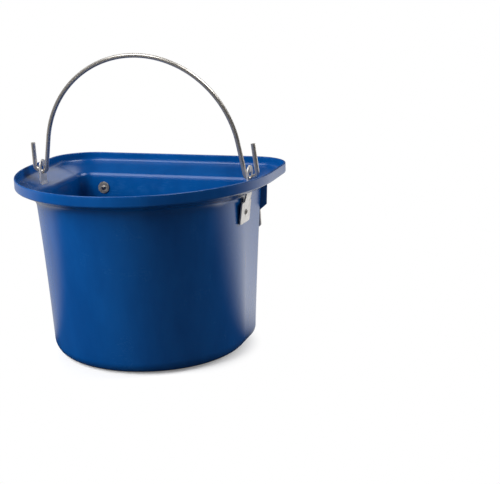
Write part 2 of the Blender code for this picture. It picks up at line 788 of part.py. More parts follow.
def main():
    for old in list(bpy.data.objects):
        bpy.data.objects.remove(old)
    strip_blue = material("blue_strip")
    plate_steel = material("bright_steel")
    hook_steel = material("brushed_steel")
    rivet_steel = material("rivet_steel")
    washer_steel = material("washer_steel")
    build_tub(material("blue_plastic"))
    build_bail(material("satin_wire"))
    hook_stack = GAP + STRIP_THICKNESS + GAP + HOOK_THICKNESS
    strip_stack = GAP + STRIP_THICKNESS
    for name, side in SIDES:
        build_ear("ear_plate_" + name, side, plate_steel)
        build_ear_fastening(name, side, rivet_steel, washer_steel)
        build_strip("back_strip_" + name, side, strip_blue)
        build_hook("hook_" + name, side, hook_steel)
        for kind, height, stack in (
            ("hook_", HOOK_RIVET_HEIGHT, hook_stack),
            ("strip_", STRIP_RIVET_HEIGHT, strip_stack),
        ):
            build_back_fastening(kind + name, side, height, stack, rivet_steel, washer_steel)


main()
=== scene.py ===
"""Portable feed trough in a plain studio: a blue moulded tub with a wire bail, ear plates and back hooks.

Metres, +Z up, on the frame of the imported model. The round front faces -Y and the flat back +Y.
"""
import math

import bmesh
import bpy
import numpy as np
from mathutils import Matrix, Vector


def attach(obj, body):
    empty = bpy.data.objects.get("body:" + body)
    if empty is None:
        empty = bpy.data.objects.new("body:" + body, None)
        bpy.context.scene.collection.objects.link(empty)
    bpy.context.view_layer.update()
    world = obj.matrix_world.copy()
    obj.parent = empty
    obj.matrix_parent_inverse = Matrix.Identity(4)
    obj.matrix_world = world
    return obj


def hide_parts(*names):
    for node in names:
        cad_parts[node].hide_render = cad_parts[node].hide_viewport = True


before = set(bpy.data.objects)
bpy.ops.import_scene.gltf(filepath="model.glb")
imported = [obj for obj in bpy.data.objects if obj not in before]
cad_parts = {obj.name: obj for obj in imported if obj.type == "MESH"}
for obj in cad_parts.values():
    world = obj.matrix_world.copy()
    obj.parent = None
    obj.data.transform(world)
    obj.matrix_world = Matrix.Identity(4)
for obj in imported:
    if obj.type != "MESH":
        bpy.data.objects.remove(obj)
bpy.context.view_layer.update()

# Clearance kept between pieces that touch
GAP = 0.0003

# Rim and walls of the tub
RIM_HALF_WIDTH = 0.185
RIM_FRONT = 0.2143
RIM_BACK = 0.1169
RIM_CORNER = 0.058
RIM_HEIGHT = 0.260
SIDE_OVERHANG = 0.0355
FRONT_OVERHANG = 0.0139
BACK_OVERHANG = 0.0317
WALL_CORNER = 0.022
BODY_CENTRE_Y = -0.0166
SIDE_DRAFT = math.radians(1.5)
FRONT_DRAFT = math.radians(9.8)
BACK_DRAFT = math.radians(6.6)

# Moulded section of the tub
WALL = 0.003
BASE_RADIUS = 0.021
FLANGE_SLOPE = math.radians(24)
FLARE_RADIUS = 0.004
FRONT_FLARE_RADIUS = 0.016
FLARE_WIDENS = (-0.055, -0.11)
EDGE_RADIUS = 0.011
LIP_THICKNESS = 0.003
LIP_DEPTH = 0.014
LIP_TOP_RADIUS = 0.0013
LIP_FOOT_RADIUS = 0.0025
CREASE_RADIUS = 0.007
SKIRT_HEIGHT = RIM_HEIGHT - LIP_DEPTH
FLANGE_FALL = math.tan(FLANGE_SLOPE)
FLANGE_LIFT = WALL / math.cos(FLANGE_SLOPE)

# Ribs under the back corners of the rim
FIN_TURN = math.radians(60)
FIN_THICKNESS = 0.0045
FIN_REACH = 0.010
FIN_TOP_REACH = 0.0015
FIN_HEIGHT = 0.049
FIN_CHAMFER = 0.009
FIN_ROOT = 0.001
FIN_SINK_SHARE = 0.25
FIN_EDGE = 0.0004

# Bail, whose wire is drawn a hair thin to stay inside its CAD box
WIRE = 0.0065
WIRE_DRAWN = WIRE - 0.00015
BAIL_HEIGHT = 0.1692
BAIL_BEND_RADIUS = 0.007
BAIL_LEG_SPREAD = math.radians(10.5)
BAIL_FOOT_RISE = math.radians(32)
BAIL_FOOT = 0.0088
BAIL_KNEE_RADIUS = 0.006
BAIL_STUB_RIGHT = 0.0435
BAIL_STUB_LEFT = 0.037
BAIL_STUB_LEAN_RIGHT = math.radians(6)
BAIL_STUB_LEAN_LEFT = math.radians(1)
BAIL_REST_LEAN = math.radians(5)
WIRE_CHAMFER = 0.0006

# Ear plates
EAR_THICKNESS = 0.002
EAR_Y = -0.0256
EAR_TURN = math.radians(4)
EAR_NECK = 0.021
EAR_PAD_WIDTH = 0.035
EAR_PAD_HEIGHT = 0.031
EAR_PAD_OFFSET = 0.0023
EAR_PAD_CORNER = 0.0025
EAR_PAD_LEAN = math.radians(7)
EAR_NECK_LEAN = math.radians(16)
EAR_BEND_RADIUS = 0.003
EAR_TOP = RIM_HEIGHT + 0.0115
EAR_KNEE_HEIGHT = RIM_HEIGHT - 0.0205
EAR_RIVET_HEIGHT = EAR_KNEE_HEIGHT - 0.0331
EAR_STANDOFF = 0.0023
EYE_DIAMETER = 0.0125
EYE_BELOW_TOP = 0.0155
SLOT_CLEARANCE = 0.0007
SLOT_OVERRUN = 0.001
PLATE_EDGE = 0.0003

# Hooks and strips on the back
HOOK_X = RIM_HALF_WIDTH - 0.0757
HOOK_WIDTH = 0.020
HOOK_THICKNESS = 0.004
HOOK_TOP = RIM_HEIGHT - 0.0275
HOOK_SPACE = 0.056
HOOK_LEG = 0.0925
HOOK_SPLAY = math.radians(7)
HOOK_BEND_RADIUS = 0.0045
HOOK_TIP_RADIUS = 0.004
HOOK_EDGE = 0.0005
STRIP_WIDTH = 0.022
STRIP_THICKNESS = 0.0045
STRIP_EDGE = 0.0006
HOOK_RIVET_HEIGHT = HOOK_TOP - 0.0216
STRIP_RIVET_HEIGHT = 0.0389

# Rivets and washers
SHANK = 0.004
RIVET_HOLE = SHANK + 2 * GAP
HEAD_DIAMETER = 0.0068
HEAD_HEIGHT = 0.0018
HEAD_ROUNDNESS = 2.4
TAIL_ROUNDNESS = 2.0
EAR_HEAD_DIAMETER = 0.0085
EAR_HEAD_HEIGHT = 0.0009
EAR_HEAD_ROUNDNESS = 5.0
MANDREL_HOLE = 0.0032
MANDREL_DEPTH = 0.0007
EAR_HOLLOW = MANDREL_HOLE * 1.9
BACK_PIN = 0.0018
BACK_PIN_DEPTH = 0.0004
TAIL_PIN = 0.0026
WASHER_DIAMETER = 0.018
WASHER_THICKNESS = 0.0015
WASHER_EDGE = 0.0003

# How finely the pieces are drawn
FRONT_STEPS = 168
CORNER_STEPS = 22
WALL_PARTS = 16
FLANGE_PARTS = 3
LIP_PARTS = 3
CREASE_PARTS = 2
FOOT_STEPS = 14
FLARE_STEPS = 8
LIP_STEPS = 6
CREASE_STEPS = 8
EDGE_STEPS = 10
ROUND_STEPS = 48
END_STEPS = 20
TIP_STEPS = 10
PAD_CORNER_STEPS = 6
BAR_BEND_STEPS = 12
KNEE_STEPS = 16
EYE_BEND_STEPS = 32
ARCH_STEPS = 80
WIRE_SIDES = 28
ROUNDING_STEPS = 3
HEAD_SIDES = 40
HEAD_RINGS = 18
SHANK_SIDES = 24
JUNCTION_ROUNDS = 4
DRILL_LENGTH = 0.024
END_FLAT = 0.0002
SAME_PLACE = 0.000002
SAME_MARK = 5 * SAME_PLACE
NO_REACH = SAME_PLACE
SHARP_ANGLE = math.radians(32)

# Curvature in 1/m from which an edge counts as rubbed, and at which it is rubbed in full
TUB_RUBS = (150, 900)
PLATE_RUBS = (600, 2500)
HOOK_RUBS = (400, 1600)
STRIP_RUBS = (300, 1400)
BAIL_RUBS = (500, 1500)
RIVET_RUBS = (500, 3000)
WASHER_RUBS = (900, 3000)

SIDES = (("left", -1), ("right", 1))


# Node trees
def add(tree, kind, feeds=None, **settings):
    """A node with its settings, and with values or links fed to its inputs."""
    made = tree.nodes.new(kind)
    for name, value in settings.items():
        setattr(made, name, value)
    for name, value in (feeds or {}).items():
        if isinstance(value, bpy.types.NodeSocket):
            tree.links.new(value, made.inputs[name])
        else:
            made.inputs[name].default_value = value
    return made


def sums(tree, operation, *values):
    """Result of a Math node."""
    return add(tree, "ShaderNodeMath", dict(enumerate(values)), operation=operation).outputs[0]


def spread(tree, value, low, high, to_low=0.0, to_high=1.0):
    """A value carried smoothly from one range to another, and held at its ends."""
    feeds = {"Value": value, "From Min": low, "From Max": high, "To Min": to_low, "To Max": to_high}
    return add(tree, "ShaderNodeMapRange", feeds, interpolation_type="SMOOTHSTEP").outputs["Result"]


def tint(tree, share, first, second):
    """Colour between two colours."""
    made = add(tree, "ShaderNodeMix", {0: share}, data_type="RGBA")
    for socket, value in ((made.inputs[6], first), (made.inputs[7], second)):
        if isinstance(value, bpy.types.NodeSocket):
            tree.links.new(value, socket)
        else:
            socket.default_value = (*value, 1)
    return made.outputs[2]


def effect(tree, group, feeds):
    """Outputs of a node group placed in a tree."""
    return add(tree, "ShaderNodeGroup", feeds, node_tree=group).outputs


def noise(tree, place, scale, detail=2.0, roughness=0.5):
    feeds = {"Vector": place, "Scale": scale, "Detail": detail, "Roughness": roughness}
    return add(tree, "ShaderNodeTexNoise", feeds).outputs["Fac"]


def new_group(name, inputs, outputs, kind="ShaderNodeTree"):
    """An empty node group with named sockets, as (tree, its input sockets, its output node)."""
    tree = bpy.data.node_groups.new(name, kind)
    for label, (socket_type, value) in inputs.items():
        socket = tree.interface.new_socket(label, in_out="INPUT", socket_type=socket_type)
        if value is not None:
            socket.default_value = value
    for label, socket_type in outputs.items():
        tree.interface.new_socket(label, in_out="OUTPUT", socket_type=socket_type)
    return tree, tree.nodes.new("NodeGroupInput").outputs, tree.nodes.new("NodeGroupOutput")


FLOAT, VECTOR, SHAPE = "NodeSocketFloat", "NodeSocketVector", "NodeSocketGeometry"


# Surface effects that several finishes share
def build_moulded_skin():
    """Orange peel and faint flow clouds of injection-moulded plastic."""
    peel_share, swell_size, flow = 0.35, 0.12, (1.0, 1.0, 0.35)
    tree, given, out = new_group(
        "moulded_skin",
        {"Place": (VECTOR, None), "Peel Size": (FLOAT, 900.0), "Cloud Size": (FLOAT, 14.0)},
        {"Height": FLOAT, "Clouds": FLOAT},
    )
    peel = noise(tree, given["Place"], given["Peel Size"])
    swell = noise(tree, given["Place"], sums(tree, "MULTIPLY", given["Peel Size"], swell_size), detail=1.0)
    drawn = add(tree, "ShaderNodeMapping", {"Vector": given["Place"], "Scale": flow}).outputs[0]
    clouds = noise(tree, drawn, given["Cloud Size"], detail=5.0, roughness=0.6)
    tree.links.new(sums(tree, "MULTIPLY_ADD", peel, peel_share, swell), out.inputs["Height"])
    tree.links.new(spread(tree, clouds, 0.3, 0.7), out.inputs["Clouds"])
    return tree


def build_drawn_grain():
    """Fine streaks along a piece's run, as rolling, drawing or brushing leaves them."""
    fine_share, broad_share, broad_size = 0.6, 0.4, 0.22
    tree, given, out = new_group(
        "drawn_grain",
        {"Run": (VECTOR, None), "Streaks Across": (FLOAT, 2500.0), "Streaks Along": (FLOAT, 40.0)},
        {"Streaks": FLOAT, "Height": FLOAT},
    )
    parts = add(tree, "ShaderNodeSeparateXYZ", {0: given["Run"]}).outputs
    stretched = {
        axis: sums(tree, "MULTIPLY", parts[axis], given[label])
        for axis, label in enumerate(("Streaks Across", "Streaks Along", "Streaks Across"))
    }
    place = add(tree, "ShaderNodeCombineXYZ", stretched).outputs[0]
    fine = noise(tree, place, 1.0, detail=3.0, roughness=0.7)
    broad = sums(tree, "MULTIPLY", noise(tree, place, broad_size), broad_share)
    both = sums(tree, "MULTIPLY_ADD", fine, fine_share, broad)
    tree.links.new(spread(tree, both, 0.3, 0.7), out.inputs["Streaks"])
    tree.links.new(fine, out.inputs["Height"])
    return tree


def build_edge_rub():
    """Where handling has rubbed the outward edges, broken up by noise."""
    tree, given, out = new_group(
        "edge_rub",
        {
            "Place": (VECTOR, None), "Edge": (FLOAT, 0.0), "Patch Size": (FLOAT, 60.0),
            "Amount": (FLOAT, 0.5),
        },
        {"Mask": FLOAT},
    )
    patches = noise(tree, given["Place"], given["Patch Size"], detail=4.0, roughness=0.65)
    worn = sums(tree, "MULTIPLY", given["Edge"], spread(tree, patches, 0.42, 0.68))
    tree.links.new(sums(tree, "MULTIPLY", worn, given["Amount"]), out.inputs["Mask"])
    return tree


def build_light_scratches():
    """Sparse short hairline scratches in two directions."""
    patch_size = 22.0
    tree, given, out = new_group(
        "light_scratches",
        {"Place": (VECTOR, None), "Size": (FLOAT, 60.0), "Amount": (FLOAT, 0.5)},
        {"Mask": FLOAT},
    )
    lines = []
    for turn, stretch in (((0.3, 0.2, 0.7), 45.0), ((1.1, 0.5, -0.6), 30.0)):
        laid = add(
            tree, "ShaderNodeMapping",
            {"Vector": given["Place"], "Rotation": turn, "Scale": (1.0, stretch, stretch)},
        ).outputs[0]
        lines.append(spread(tree, noise(tree, laid, given["Size"], detail=0.0), 0.70, 0.76))
    patches = spread(tree, noise(tree, given["Place"], patch_size, detail=3.0), 0.52, 0.66)
    kept = sums(tree, "MULTIPLY", sums(tree, "MAXIMUM", *lines), patches)
    tree.links.new(sums(tree, "MULTIPLY", kept, given["Amount"]), out.inputs["Mask"])
    return tree


moulded_skin = build_moulded_skin()
drawn_grain = build_drawn_grain()
edge_rub = build_edge_rub()
light_scratches = build_light_scratches()


# Finishes
def new_finish(name):
    """A material as (material, tree, shader, object coordinates, edge attribute)."""
    made = bpy.data.materials.new(name)
    made.use_nodes = True
    tree = made.node_tree
    place = add(tree, "ShaderNodeTexCoord").outputs["Object"]
    edge = add(tree, "ShaderNodeAttribute", attribute_name="edge").outputs["Fac"]
    return made, tree, tree.nodes["Principled BSDF"], place, edge


def feed(tree, shader, **sockets):
    """Links values to a shader's inputs, an underscore standing for the space in a name."""
    for name, value in sockets.items():
        tree.links.new(value, shader.inputs[name.replace("_", " ")])


def bumped(tree, height, strength, distance):
    """Normal of a surface with fine relief."""
    feeds = {"Height": height, "Strength": strength, "Distance": distance}
    return add(tree, "ShaderNodeBump", feeds).outputs[0]


def worn(tree, place, edge, patch_size, rub_amount, scratch_size, scratch_amount):
    """Masks of the rubbed edges and of the scratches."""
    on_edges = {"Place": place, "Edge": edge, "Patch Size": patch_size, "Amount": rub_amount}
    scratches = {"Place": place, "Size": scratch_size, "Amount": scratch_amount}
    return effect(tree, edge_rub, on_edges)["Mask"], effect(tree, light_scratches, scratches)["Mask"]


def brighter(colour, factor):
    return tuple(min(1.0, part * factor) for part in colour)


def moulded_plastic(name, deep, clear, rubbed, roughness, peel_depth, wear):
    """Glossy moulded plastic with clouds in its colour, orange peel, rubbed edges and light scratches."""
    scratch_tint, wear_roughness, scratch_depth = 0.06, 0.10, 0.05
    made, tree, shader, place, edge = new_finish(name)
    skin = effect(tree, moulded_skin, {"Place": place})
    rub, lines = worn(tree, place, edge, 60.0, wear, 60.0, wear)
    colour = tint(tree, skin["Clouds"], deep, clear)
    colour = tint(tree, rub, colour, rubbed)
    colour = tint(tree, sums(tree, "MULTIPLY", lines, scratch_tint), colour, rubbed)
    rough = spread(tree, skin["Clouds"], 0.0, 1.0, roughness * 0.88, roughness * 1.12)
    rough = sums(tree, "MULTIPLY_ADD", sums(tree, "MAXIMUM", rub, lines), wear_roughness, rough)
    height = sums(tree, "SUBTRACT", skin["Height"], sums(tree, "MULTIPLY", lines, scratch_depth))
    shader.inputs["IOR"].default_value = 1.5
    feed(tree, shader, Base_Color=colour, Roughness=rough, Normal=bumped(tree, height, 0.2, peel_depth))
    return made


def worked_steel(name, dark, bright, stain, roughness, grain_depth, across, along, wear, metallic):
    """Steel with a grain along each piece's run, stains, polished edges and light scratches."""
    blotch_size, blotch_tint, blotch_roughness = 85.0, 0.45, 0.08
    scratch_roughness, scratch_depth = 0.15, 0.6
    made, tree, shader, place, edge = new_finish(name)
    run = add(tree, "ShaderNodeAttribute", attribute_name="run").outputs["Vector"]
    grain = effect(tree, drawn_grain, {"Run": run, "Streaks Across": across, "Streaks Along": along})
    rub, lines = worn(tree, place, edge, 180.0, wear, 120.0, wear)
    blotches = spread(tree, noise(tree, place, blotch_size, detail=5.0, roughness=0.62), 0.45, 0.72)
    colour = tint(tree, grain["Streaks"], dark, bright)
    colour = tint(tree, sums(tree, "MULTIPLY", blotches, blotch_tint), colour, stain)
    colour = tint(tree, rub, colour, brighter(bright, 1.25))
    rough = spread(tree, grain["Streaks"], 0.0, 1.0, roughness * 1.2, roughness * 0.82)
    rough = sums(tree, "MULTIPLY_ADD", blotches, blotch_roughness, rough)
    rough = sums(tree, "MULTIPLY_ADD", lines, scratch_roughness, rough)
    height = sums(tree, "SUBTRACT", grain["Height"], sums(tree, "MULTIPLY", lines, scratch_depth))
    shader.inputs["Metallic"].default_value = metallic
    feed(tree, shader, Base_Color=colour, Roughness=rough, Normal=bumped(tree, height, 0.3, grain_depth))
    return made


def struck_metal(name, dark, bright, pin_shade, roughness, metallic):
    """Pressed metal of rivets and washers, with painted shade in the sunk pins that the hollow attribute
    marks: a dark, dull colour there stands in for the shade in the holes.
    """
    blotch_size, dent_depth, pin_shade_roughness, pin_shade_dulls = 420.0, 0.00006, 0.4, 0.8
    made, tree, shader, place, edge = new_finish(name)
    hollow = add(tree, "ShaderNodeAttribute", attribute_name="hollow").outputs["Fac"]
    rub, lines = worn(tree, place, edge, 300.0, 0.6, 160.0, 0.8)
    blotches = noise(tree, place, blotch_size, detail=4.0, roughness=0.6)
    colour = tint(tree, spread(tree, blotches, 0.35, 0.65), dark, bright)
    colour = tint(tree, rub, colour, brighter(bright, 1.2))
    # Painted shade: the sunk pins are coloured dark and made duller, for the shade that falls in them.
    shaded_pin = sums(tree, "MULTIPLY", hollow, spread(tree, blotches, 0.2, 0.5, 0.75, 1.0))
    colour = tint(tree, shaded_pin, colour, pin_shade)
    rough = spread(tree, blotches, 0.3, 0.7, roughness * 0.85, roughness * 1.2)
    rough = sums(tree, "MULTIPLY_ADD", shaded_pin, pin_shade_roughness, rough)
    normal = bumped(tree, sums(tree, "SUBTRACT", blotches, lines), 0.4, dent_depth)
    metal = sums(tree, "MULTIPLY_ADD", shaded_pin, -pin_shade_dulls * metallic, metallic)
    feed(tree, shader, Base_Color=colour, Roughness=rough, Metallic=metal, Normal=normal)
    return made


tub_blue = moulded_plastic(
    "tub_blue", deep=(0.0004, 0.047, 0.195), clear=(0.0006, 0.063, 0.245), rubbed=(0.03, 0.12, 0.32),
    roughness=0.23, peel_depth=0.000012, wear=0.4,
)
strip_blue = moulded_plastic(
    "strip_blue", deep=(0.0005, 0.040, 0.160), clear=(0.0007, 0.055, 0.205), rubbed=(0.03, 0.11, 0.30),
    roughness=0.33, peel_depth=0.00002, wear=0.35,
)
plate_steel = worked_steel(
    "plate_steel", dark=(0.56, 0.54, 0.515), bright=(0.64, 0.62, 0.595), stain=(0.50, 0.47, 0.43),
    roughness=0.40, grain_depth=0.000006, across=3500.0, along=60.0, wear=0.6, metallic=0.55,
)
hook_steel = worked_steel(
    "hook_steel", dark=(0.46, 0.425, 0.38), bright=(0.58, 0.545, 0.495), stain=(0.42, 0.38, 0.33),
    roughness=0.42, grain_depth=0.00003, across=2200.0, along=25.0, wear=0.5, metallic=0.75,
)
bail_steel = worked_steel(
    "bail_steel", dark=(0.68, 0.64, 0.585), bright=(0.77, 0.73, 0.675), stain=(0.62, 0.57, 0.51),
    roughness=0.27, grain_depth=0.0000008, across=600.0, along=12.0, wear=0.2, metallic=0.85,
)
# The darkest colour given to each of these metals is painted shade for its sunk pins.
rivet_metal = struck_metal(
    "rivet_metal", dark=(0.38, 0.365, 0.34), bright=(0.60, 0.58, 0.55), pin_shade=(0.035, 0.018, 0.010),
    roughness=0.36, metallic=1.0,
)
washer_metal = struck_metal(
    "washer_metal", dark=(0.32, 0.285, 0.235), bright=(0.54, 0.49, 0.42), pin_shade=(0.10, 0.075, 0.05),
    roughness=0.38, metallic=0.75,
)


# Meshes
def mark_edges(mesh, begin, full):
    """Stores how strongly the surface turns outwards at each vertex, from its curvature in 1/m."""
    count = len(mesh.vertices)
    places, normals = np.empty(count * 3), np.empty(count * 3)
    mesh.vertices.foreach_get("co", places)
    mesh.vertices.foreach_get("normal", normals)
    places, normals = places.reshape(-1, 3), normals.reshape(-1, 3)
    ends = np.empty(len(mesh.edges) * 2, int)
    mesh.edges.foreach_get("vertices", ends)
    first, second = ends.reshape(-1, 2).T
    span = places[second] - places[first]
    length = np.maximum((span ** 2).sum(1), SAME_PLACE ** 2)
    bend = ((normals[second] - normals[first]) * span).sum(1) / length
    strongest = np.zeros(count)
    np.maximum.at(strongest, first, bend)
    np.maximum.at(strongest, second, bend)
    marked = mesh.attributes.new("edge", "FLOAT", "POINT")
    marked.data.foreach_set("value", np.clip((strongest - begin) / (full - begin), 0, 1))


def mark_run(mesh, run_of):
    """Stores the place of each vertex across, along and out of a piece, which its grain follows."""
    marked = mesh.attributes.new("run", "FLOAT_VECTOR", "POINT")
    for vertex, value in zip(mesh.vertices, marked.data):
        value.vector = run_of(vertex.co)


def linked(name, data):
    """An object in the scene from its data."""
    made = bpy.data.objects.new(name, data)
    bpy.context.scene.collection.objects.link(made)
    return made


def shape_object(name, shape, place=None):
    """An object at the origin from a bmesh, its faces turned outwards."""
    if place is not None:
        shape.transform(place)
    bmesh.ops.remove_doubles(shape, verts=shape.verts[:], dist=SAME_PLACE)
    bmesh.ops.recalc_face_normals(shape, faces=shape.faces[:])
    mesh = bpy.data.meshes.new(name)
    shape.to_mesh(mesh)
    shape.free()
    return linked(name, mesh)


def baked(made):
    """A plain mesh of the object as its modifiers leave it."""
    bpy.context.view_layer.update()
    return bpy.data.meshes.new_from_object(made.evaluated_get(bpy.context.evaluated_depsgraph_get()))


def settle(made):
    """Bakes the object's modifiers into its mesh."""
    plain = baked(made)
    made.modifiers.clear()
    made.data = plain


def cut(made, operation, shapes):
    """Joins to or cuts from an object several closed shapes."""
    whole = bmesh.new()
    for shape in shapes:
        scratch = bpy.data.meshes.new("scratch")
        shape.to_mesh(scratch)
        shape.free()
        whole.from_mesh(scratch)
        bpy.data.meshes.remove(scratch)
    helper = shape_object("helper", whole)
    step = made.modifiers.new("cut", "BOOLEAN")
    step.operation = operation
    step.solver = "EXACT"
    step.object = helper
    settle(made)
    bpy.data.objects.remove(helper)


def soften(made, width):
    """Rounds the sharp edges of a piece."""
    step = made.modifiers.new("soften", "BEVEL")
    step.width = width
    step.segments = ROUNDING_STEPS
    step.limit_method = "ANGLE"
    step.angle_limit = SHARP_ANGLE
    step.harden_normals = False
    settle(made)


def finish(made, material, body, nodes, rubs):
    """Shades a piece, gives it its material, and puts it in place of its CAD nodes on a body."""
    mesh = made.data
    mesh.shade_smooth()
    mesh.set_sharp_from_angle(angle=SHARP_ANGLE)
    mark_edges(mesh, *rubs)
    mesh.materials.clear()
    mesh.materials.append(material)
    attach(made, body)
    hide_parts(*nodes)


def skin(rings):
    """A closed mesh over rings of equally many points, with a flat face on each end."""
    made = bmesh.new()
    loops = [[made.verts.new(point) for point in ring] for ring in rings]
    count = len(loops[0])
    for lower, upper in zip(loops, loops[1:]):
        for side in range(count):
            after = (side + 1) % count
            made.faces.new((lower[side], lower[after], upper[after], upper[side]))
    made.faces.new(loops[0])
    made.faces.new(loops[-1])
    return made


def drill(diameter, place):
    """A closed cylinder for cutting a hole, centred on its place along local Z."""
    made = bmesh.new()
    bmesh.ops.create_cone(
        made, cap_ends=True, segments=ROUND_STEPS,
        radius1=diameter / 2, radius2=diameter / 2, depth=DRILL_LENGTH,
    )
    made.transform(place)
    return made


def box(low, high, place):
    """A closed box between two corners of a placement."""
    made = bmesh.new()
    bmesh.ops.create_cube(made, size=1)
    centre = (Vector(low) + Vector(high)) / 2
    size = Vector(high) - Vector(low)
    made.transform(place @ Matrix.Translation(centre) @ Matrix.Diagonal((*size, 1)))
    return made


def frame_matrix(origin, across, up, out):
    """Placement whose local X, Y and Z run along the three directions."""
    turn = Matrix((across, up, out)).transposed().to_4x4()
    return Matrix.Translation(origin) @ turn


def fillet(before, corner, after, radius, steps):
    """Points of an arc that rounds a corner of a section."""
    inward = (before - corner).normalized()
    onward = (after - corner).normalized()
    half = inward.angle(onward) / 2
    centre = corner + (inward + onward).normalized() * radius / math.sin(half)
    start = corner + inward * radius / math.tan(half) - centre
    sweep = math.pi - 2 * half
    turn = 1 if inward.x * onward.y - inward.y * onward.x < 0 else -1
    points = []
    for step in range(steps + 1):
        angle = turn * sweep * step / steps
        cos, sin = math.cos(angle), math.sin(angle)
        points.append(centre + Vector((start.x * cos - start.y * sin, start.x * sin + start.y * cos)))
    return points


# Plan outline and walls of the tub
def d_outline(half_width, front, back, corner, centre_y):
    """A half ellipse round the front, straight sides, round back corners and a flat back."""
    points = []
    for step in range(FRONT_STEPS + 1):
        turn = math.pi * step / FRONT_STEPS
        points.append(Vector((half_width * math.cos(turn), centre_y - front * math.sin(turn))))
    for side, start in ((-1, math.pi), (1, math.pi / 2)):
        centre = Vector((side * (half_width - corner), centre_y + back - corner))
        for step in range(CORNER_STEPS + 1):
            turn = start - math.pi / 2 * step / CORNER_STEPS
            points.append(centre + corner * Vector((math.cos(turn), math.sin(turn))))
    return points


def wall_half_width(height):
    return RIM_HALF_WIDTH - SIDE_OVERHANG - (RIM_HEIGHT - height) * math.tan(SIDE_DRAFT)


def wall_front(height):
    return RIM_FRONT + BODY_CENTRE_Y - FRONT_OVERHANG - (RIM_HEIGHT - height) * math.tan(FRONT_DRAFT)


def wall_back(height):
    return RIM_BACK - BODY_CENTRE_Y - BACK_OVERHANG - (RIM_HEIGHT - height) * math.tan(BACK_DRAFT)


outlines = {}
HEIGHT_DIGITS = 7


def wall_outline(height):
    """Outline of the wall's outer face at this height, drawn once for each height."""
    height = round(height, HEIGHT_DIGITS)
    if height not in outlines:
        outlines[height] = d_outline(
            wall_half_width(height), wall_front(height), wall_back(height), WALL_CORNER, BODY_CENTRE_Y
        )
    return outlines[height]


def back_face_y(height):
    return BODY_CENTRE_Y + wall_back(height)


def side_face(y, height):
    """Half width of the outer face at this y, forward of the widest place."""
    share = (y - BODY_CENTRE_Y) / wall_front(height)
    return wall_half_width(height) * math.sqrt(1 - share * share)


def side_yaw(y, height):
    """Angle by which the outer face turns from the side towards the front at this y."""
    share = (BODY_CENTRE_Y - y) / wall_front(height)
    slope = wall_half_width(height) * share / (wall_front(height) * math.sqrt(1 - share * share))
    return math.atan(slope)


class Station:
    """One place along the outline, where the section is drawn as distance in from the rim, and height."""

    def __init__(self, index, rim_point):
        self.index = index
        self.rim = rim_point

    def wall_point(self, height):
        return wall_outline(height)[self.index]

    def overhang(self, height):
        return (self.rim - self.wall_point(height)).length

    def place(self, inset, height):
        plan = self.rim + (self.wall_point(height) - self.rim) * (inset / self.overhang(height))
        return Vector((plan.x, plan.y, height))

    def junction(self):
        """Height at which the flange's underside meets the outer face of the wall."""
        height = SKIRT_HEIGHT
        for _ in range(JUNCTION_ROUNDS):
            height = SKIRT_HEIGHT - self.overhang(height) * FLANGE_FALL
        return height

    def flare(self):
        """Radius under the rim, which widens towards the front."""
        start, full = FLARE_WIDENS
        share = min(max((self.rim.y - start) / (full - start), 0), 1)
        return FLARE_RADIUS + (FRONT_FLARE_RADIUS - FLARE_RADIUS) * share * share * (3 - 2 * share)

    def section(self):
        """The whole moulded section, from under the base round the rim to the floor inside.

        Each corner has its radius, the steps of its arc and the parts of the straight before it.
        """
        low, join = 0.0, self.junction()
        inner_join = join - WALL * FLANGE_FALL + FLANGE_LIFT
        foot = SKIRT_HEIGHT - LIP_THICKNESS * FLANGE_FALL + FLANGE_LIFT
        start = Vector((self.overhang(low) + BASE_RADIUS * 2, low))
        end = Vector((self.overhang(WALL) + WALL + BASE_RADIUS * 2, WALL))
        corners = (
            (Vector((self.overhang(low), low)), BASE_RADIUS, FOOT_STEPS, 0),
            (Vector((self.overhang(join), join)), self.flare(), FLARE_STEPS, WALL_PARTS),
            (Vector((0, SKIRT_HEIGHT)), LIP_FOOT_RADIUS, LIP_STEPS, FLANGE_PARTS),
            (Vector((0, RIM_HEIGHT)), LIP_TOP_RADIUS, LIP_STEPS, LIP_PARTS),
            (Vector((LIP_THICKNESS, RIM_HEIGHT)), LIP_TOP_RADIUS, LIP_STEPS, 1),
            (Vector((LIP_THICKNESS, foot)), CREASE_RADIUS, CREASE_STEPS, CREASE_PARTS),
            (Vector((self.overhang(inner_join) + WALL, inner_join)), EDGE_RADIUS, EDGE_STEPS, FLANGE_PARTS),
            (Vector((self.overhang(WALL) + WALL, WALL)), BASE_RADIUS - WALL, FOOT_STEPS, WALL_PARTS),
        )
        path = [start] + [row[0] for row in corners] + [end]
        points = [start]
        for before, (corner, radius, steps, parts), after in zip(path, corners, path[2:]):
            arc = fillet(before, corner, after, radius, steps)
            for part in range(1, parts):
                points.append(points[-1].lerp(arc[0], 1 / (parts - part + 1)))
            points += arc
        points.append(end)
        return [self.place(point.x, point.y) for point in points]


# Places on the tub
def ear_frame(side):
    """Placement of an ear plate's inner face at its rivet: X across, Y upright, Z level outwards."""
    rivet_y = EAR_Y - side * EAR_PAD_OFFSET
    out = Vector((side * math.cos(EAR_TURN), -math.sin(EAR_TURN), 0))
    up = Vector((0, 0, 1))
    face = Vector((side * side_face(rivet_y, EAR_RIVET_HEIGHT), rivet_y, EAR_RIVET_HEIGHT))
    return frame_matrix(face + out * EAR_STANDOFF, up.cross(out), up, out)


def pad_frame(side):
    """The same place, leaning with the pad, so that local Z is the pad's normal."""
    return ear_frame(side) @ Matrix.Rotation(EAR_PAD_LEAN, 4, "X")


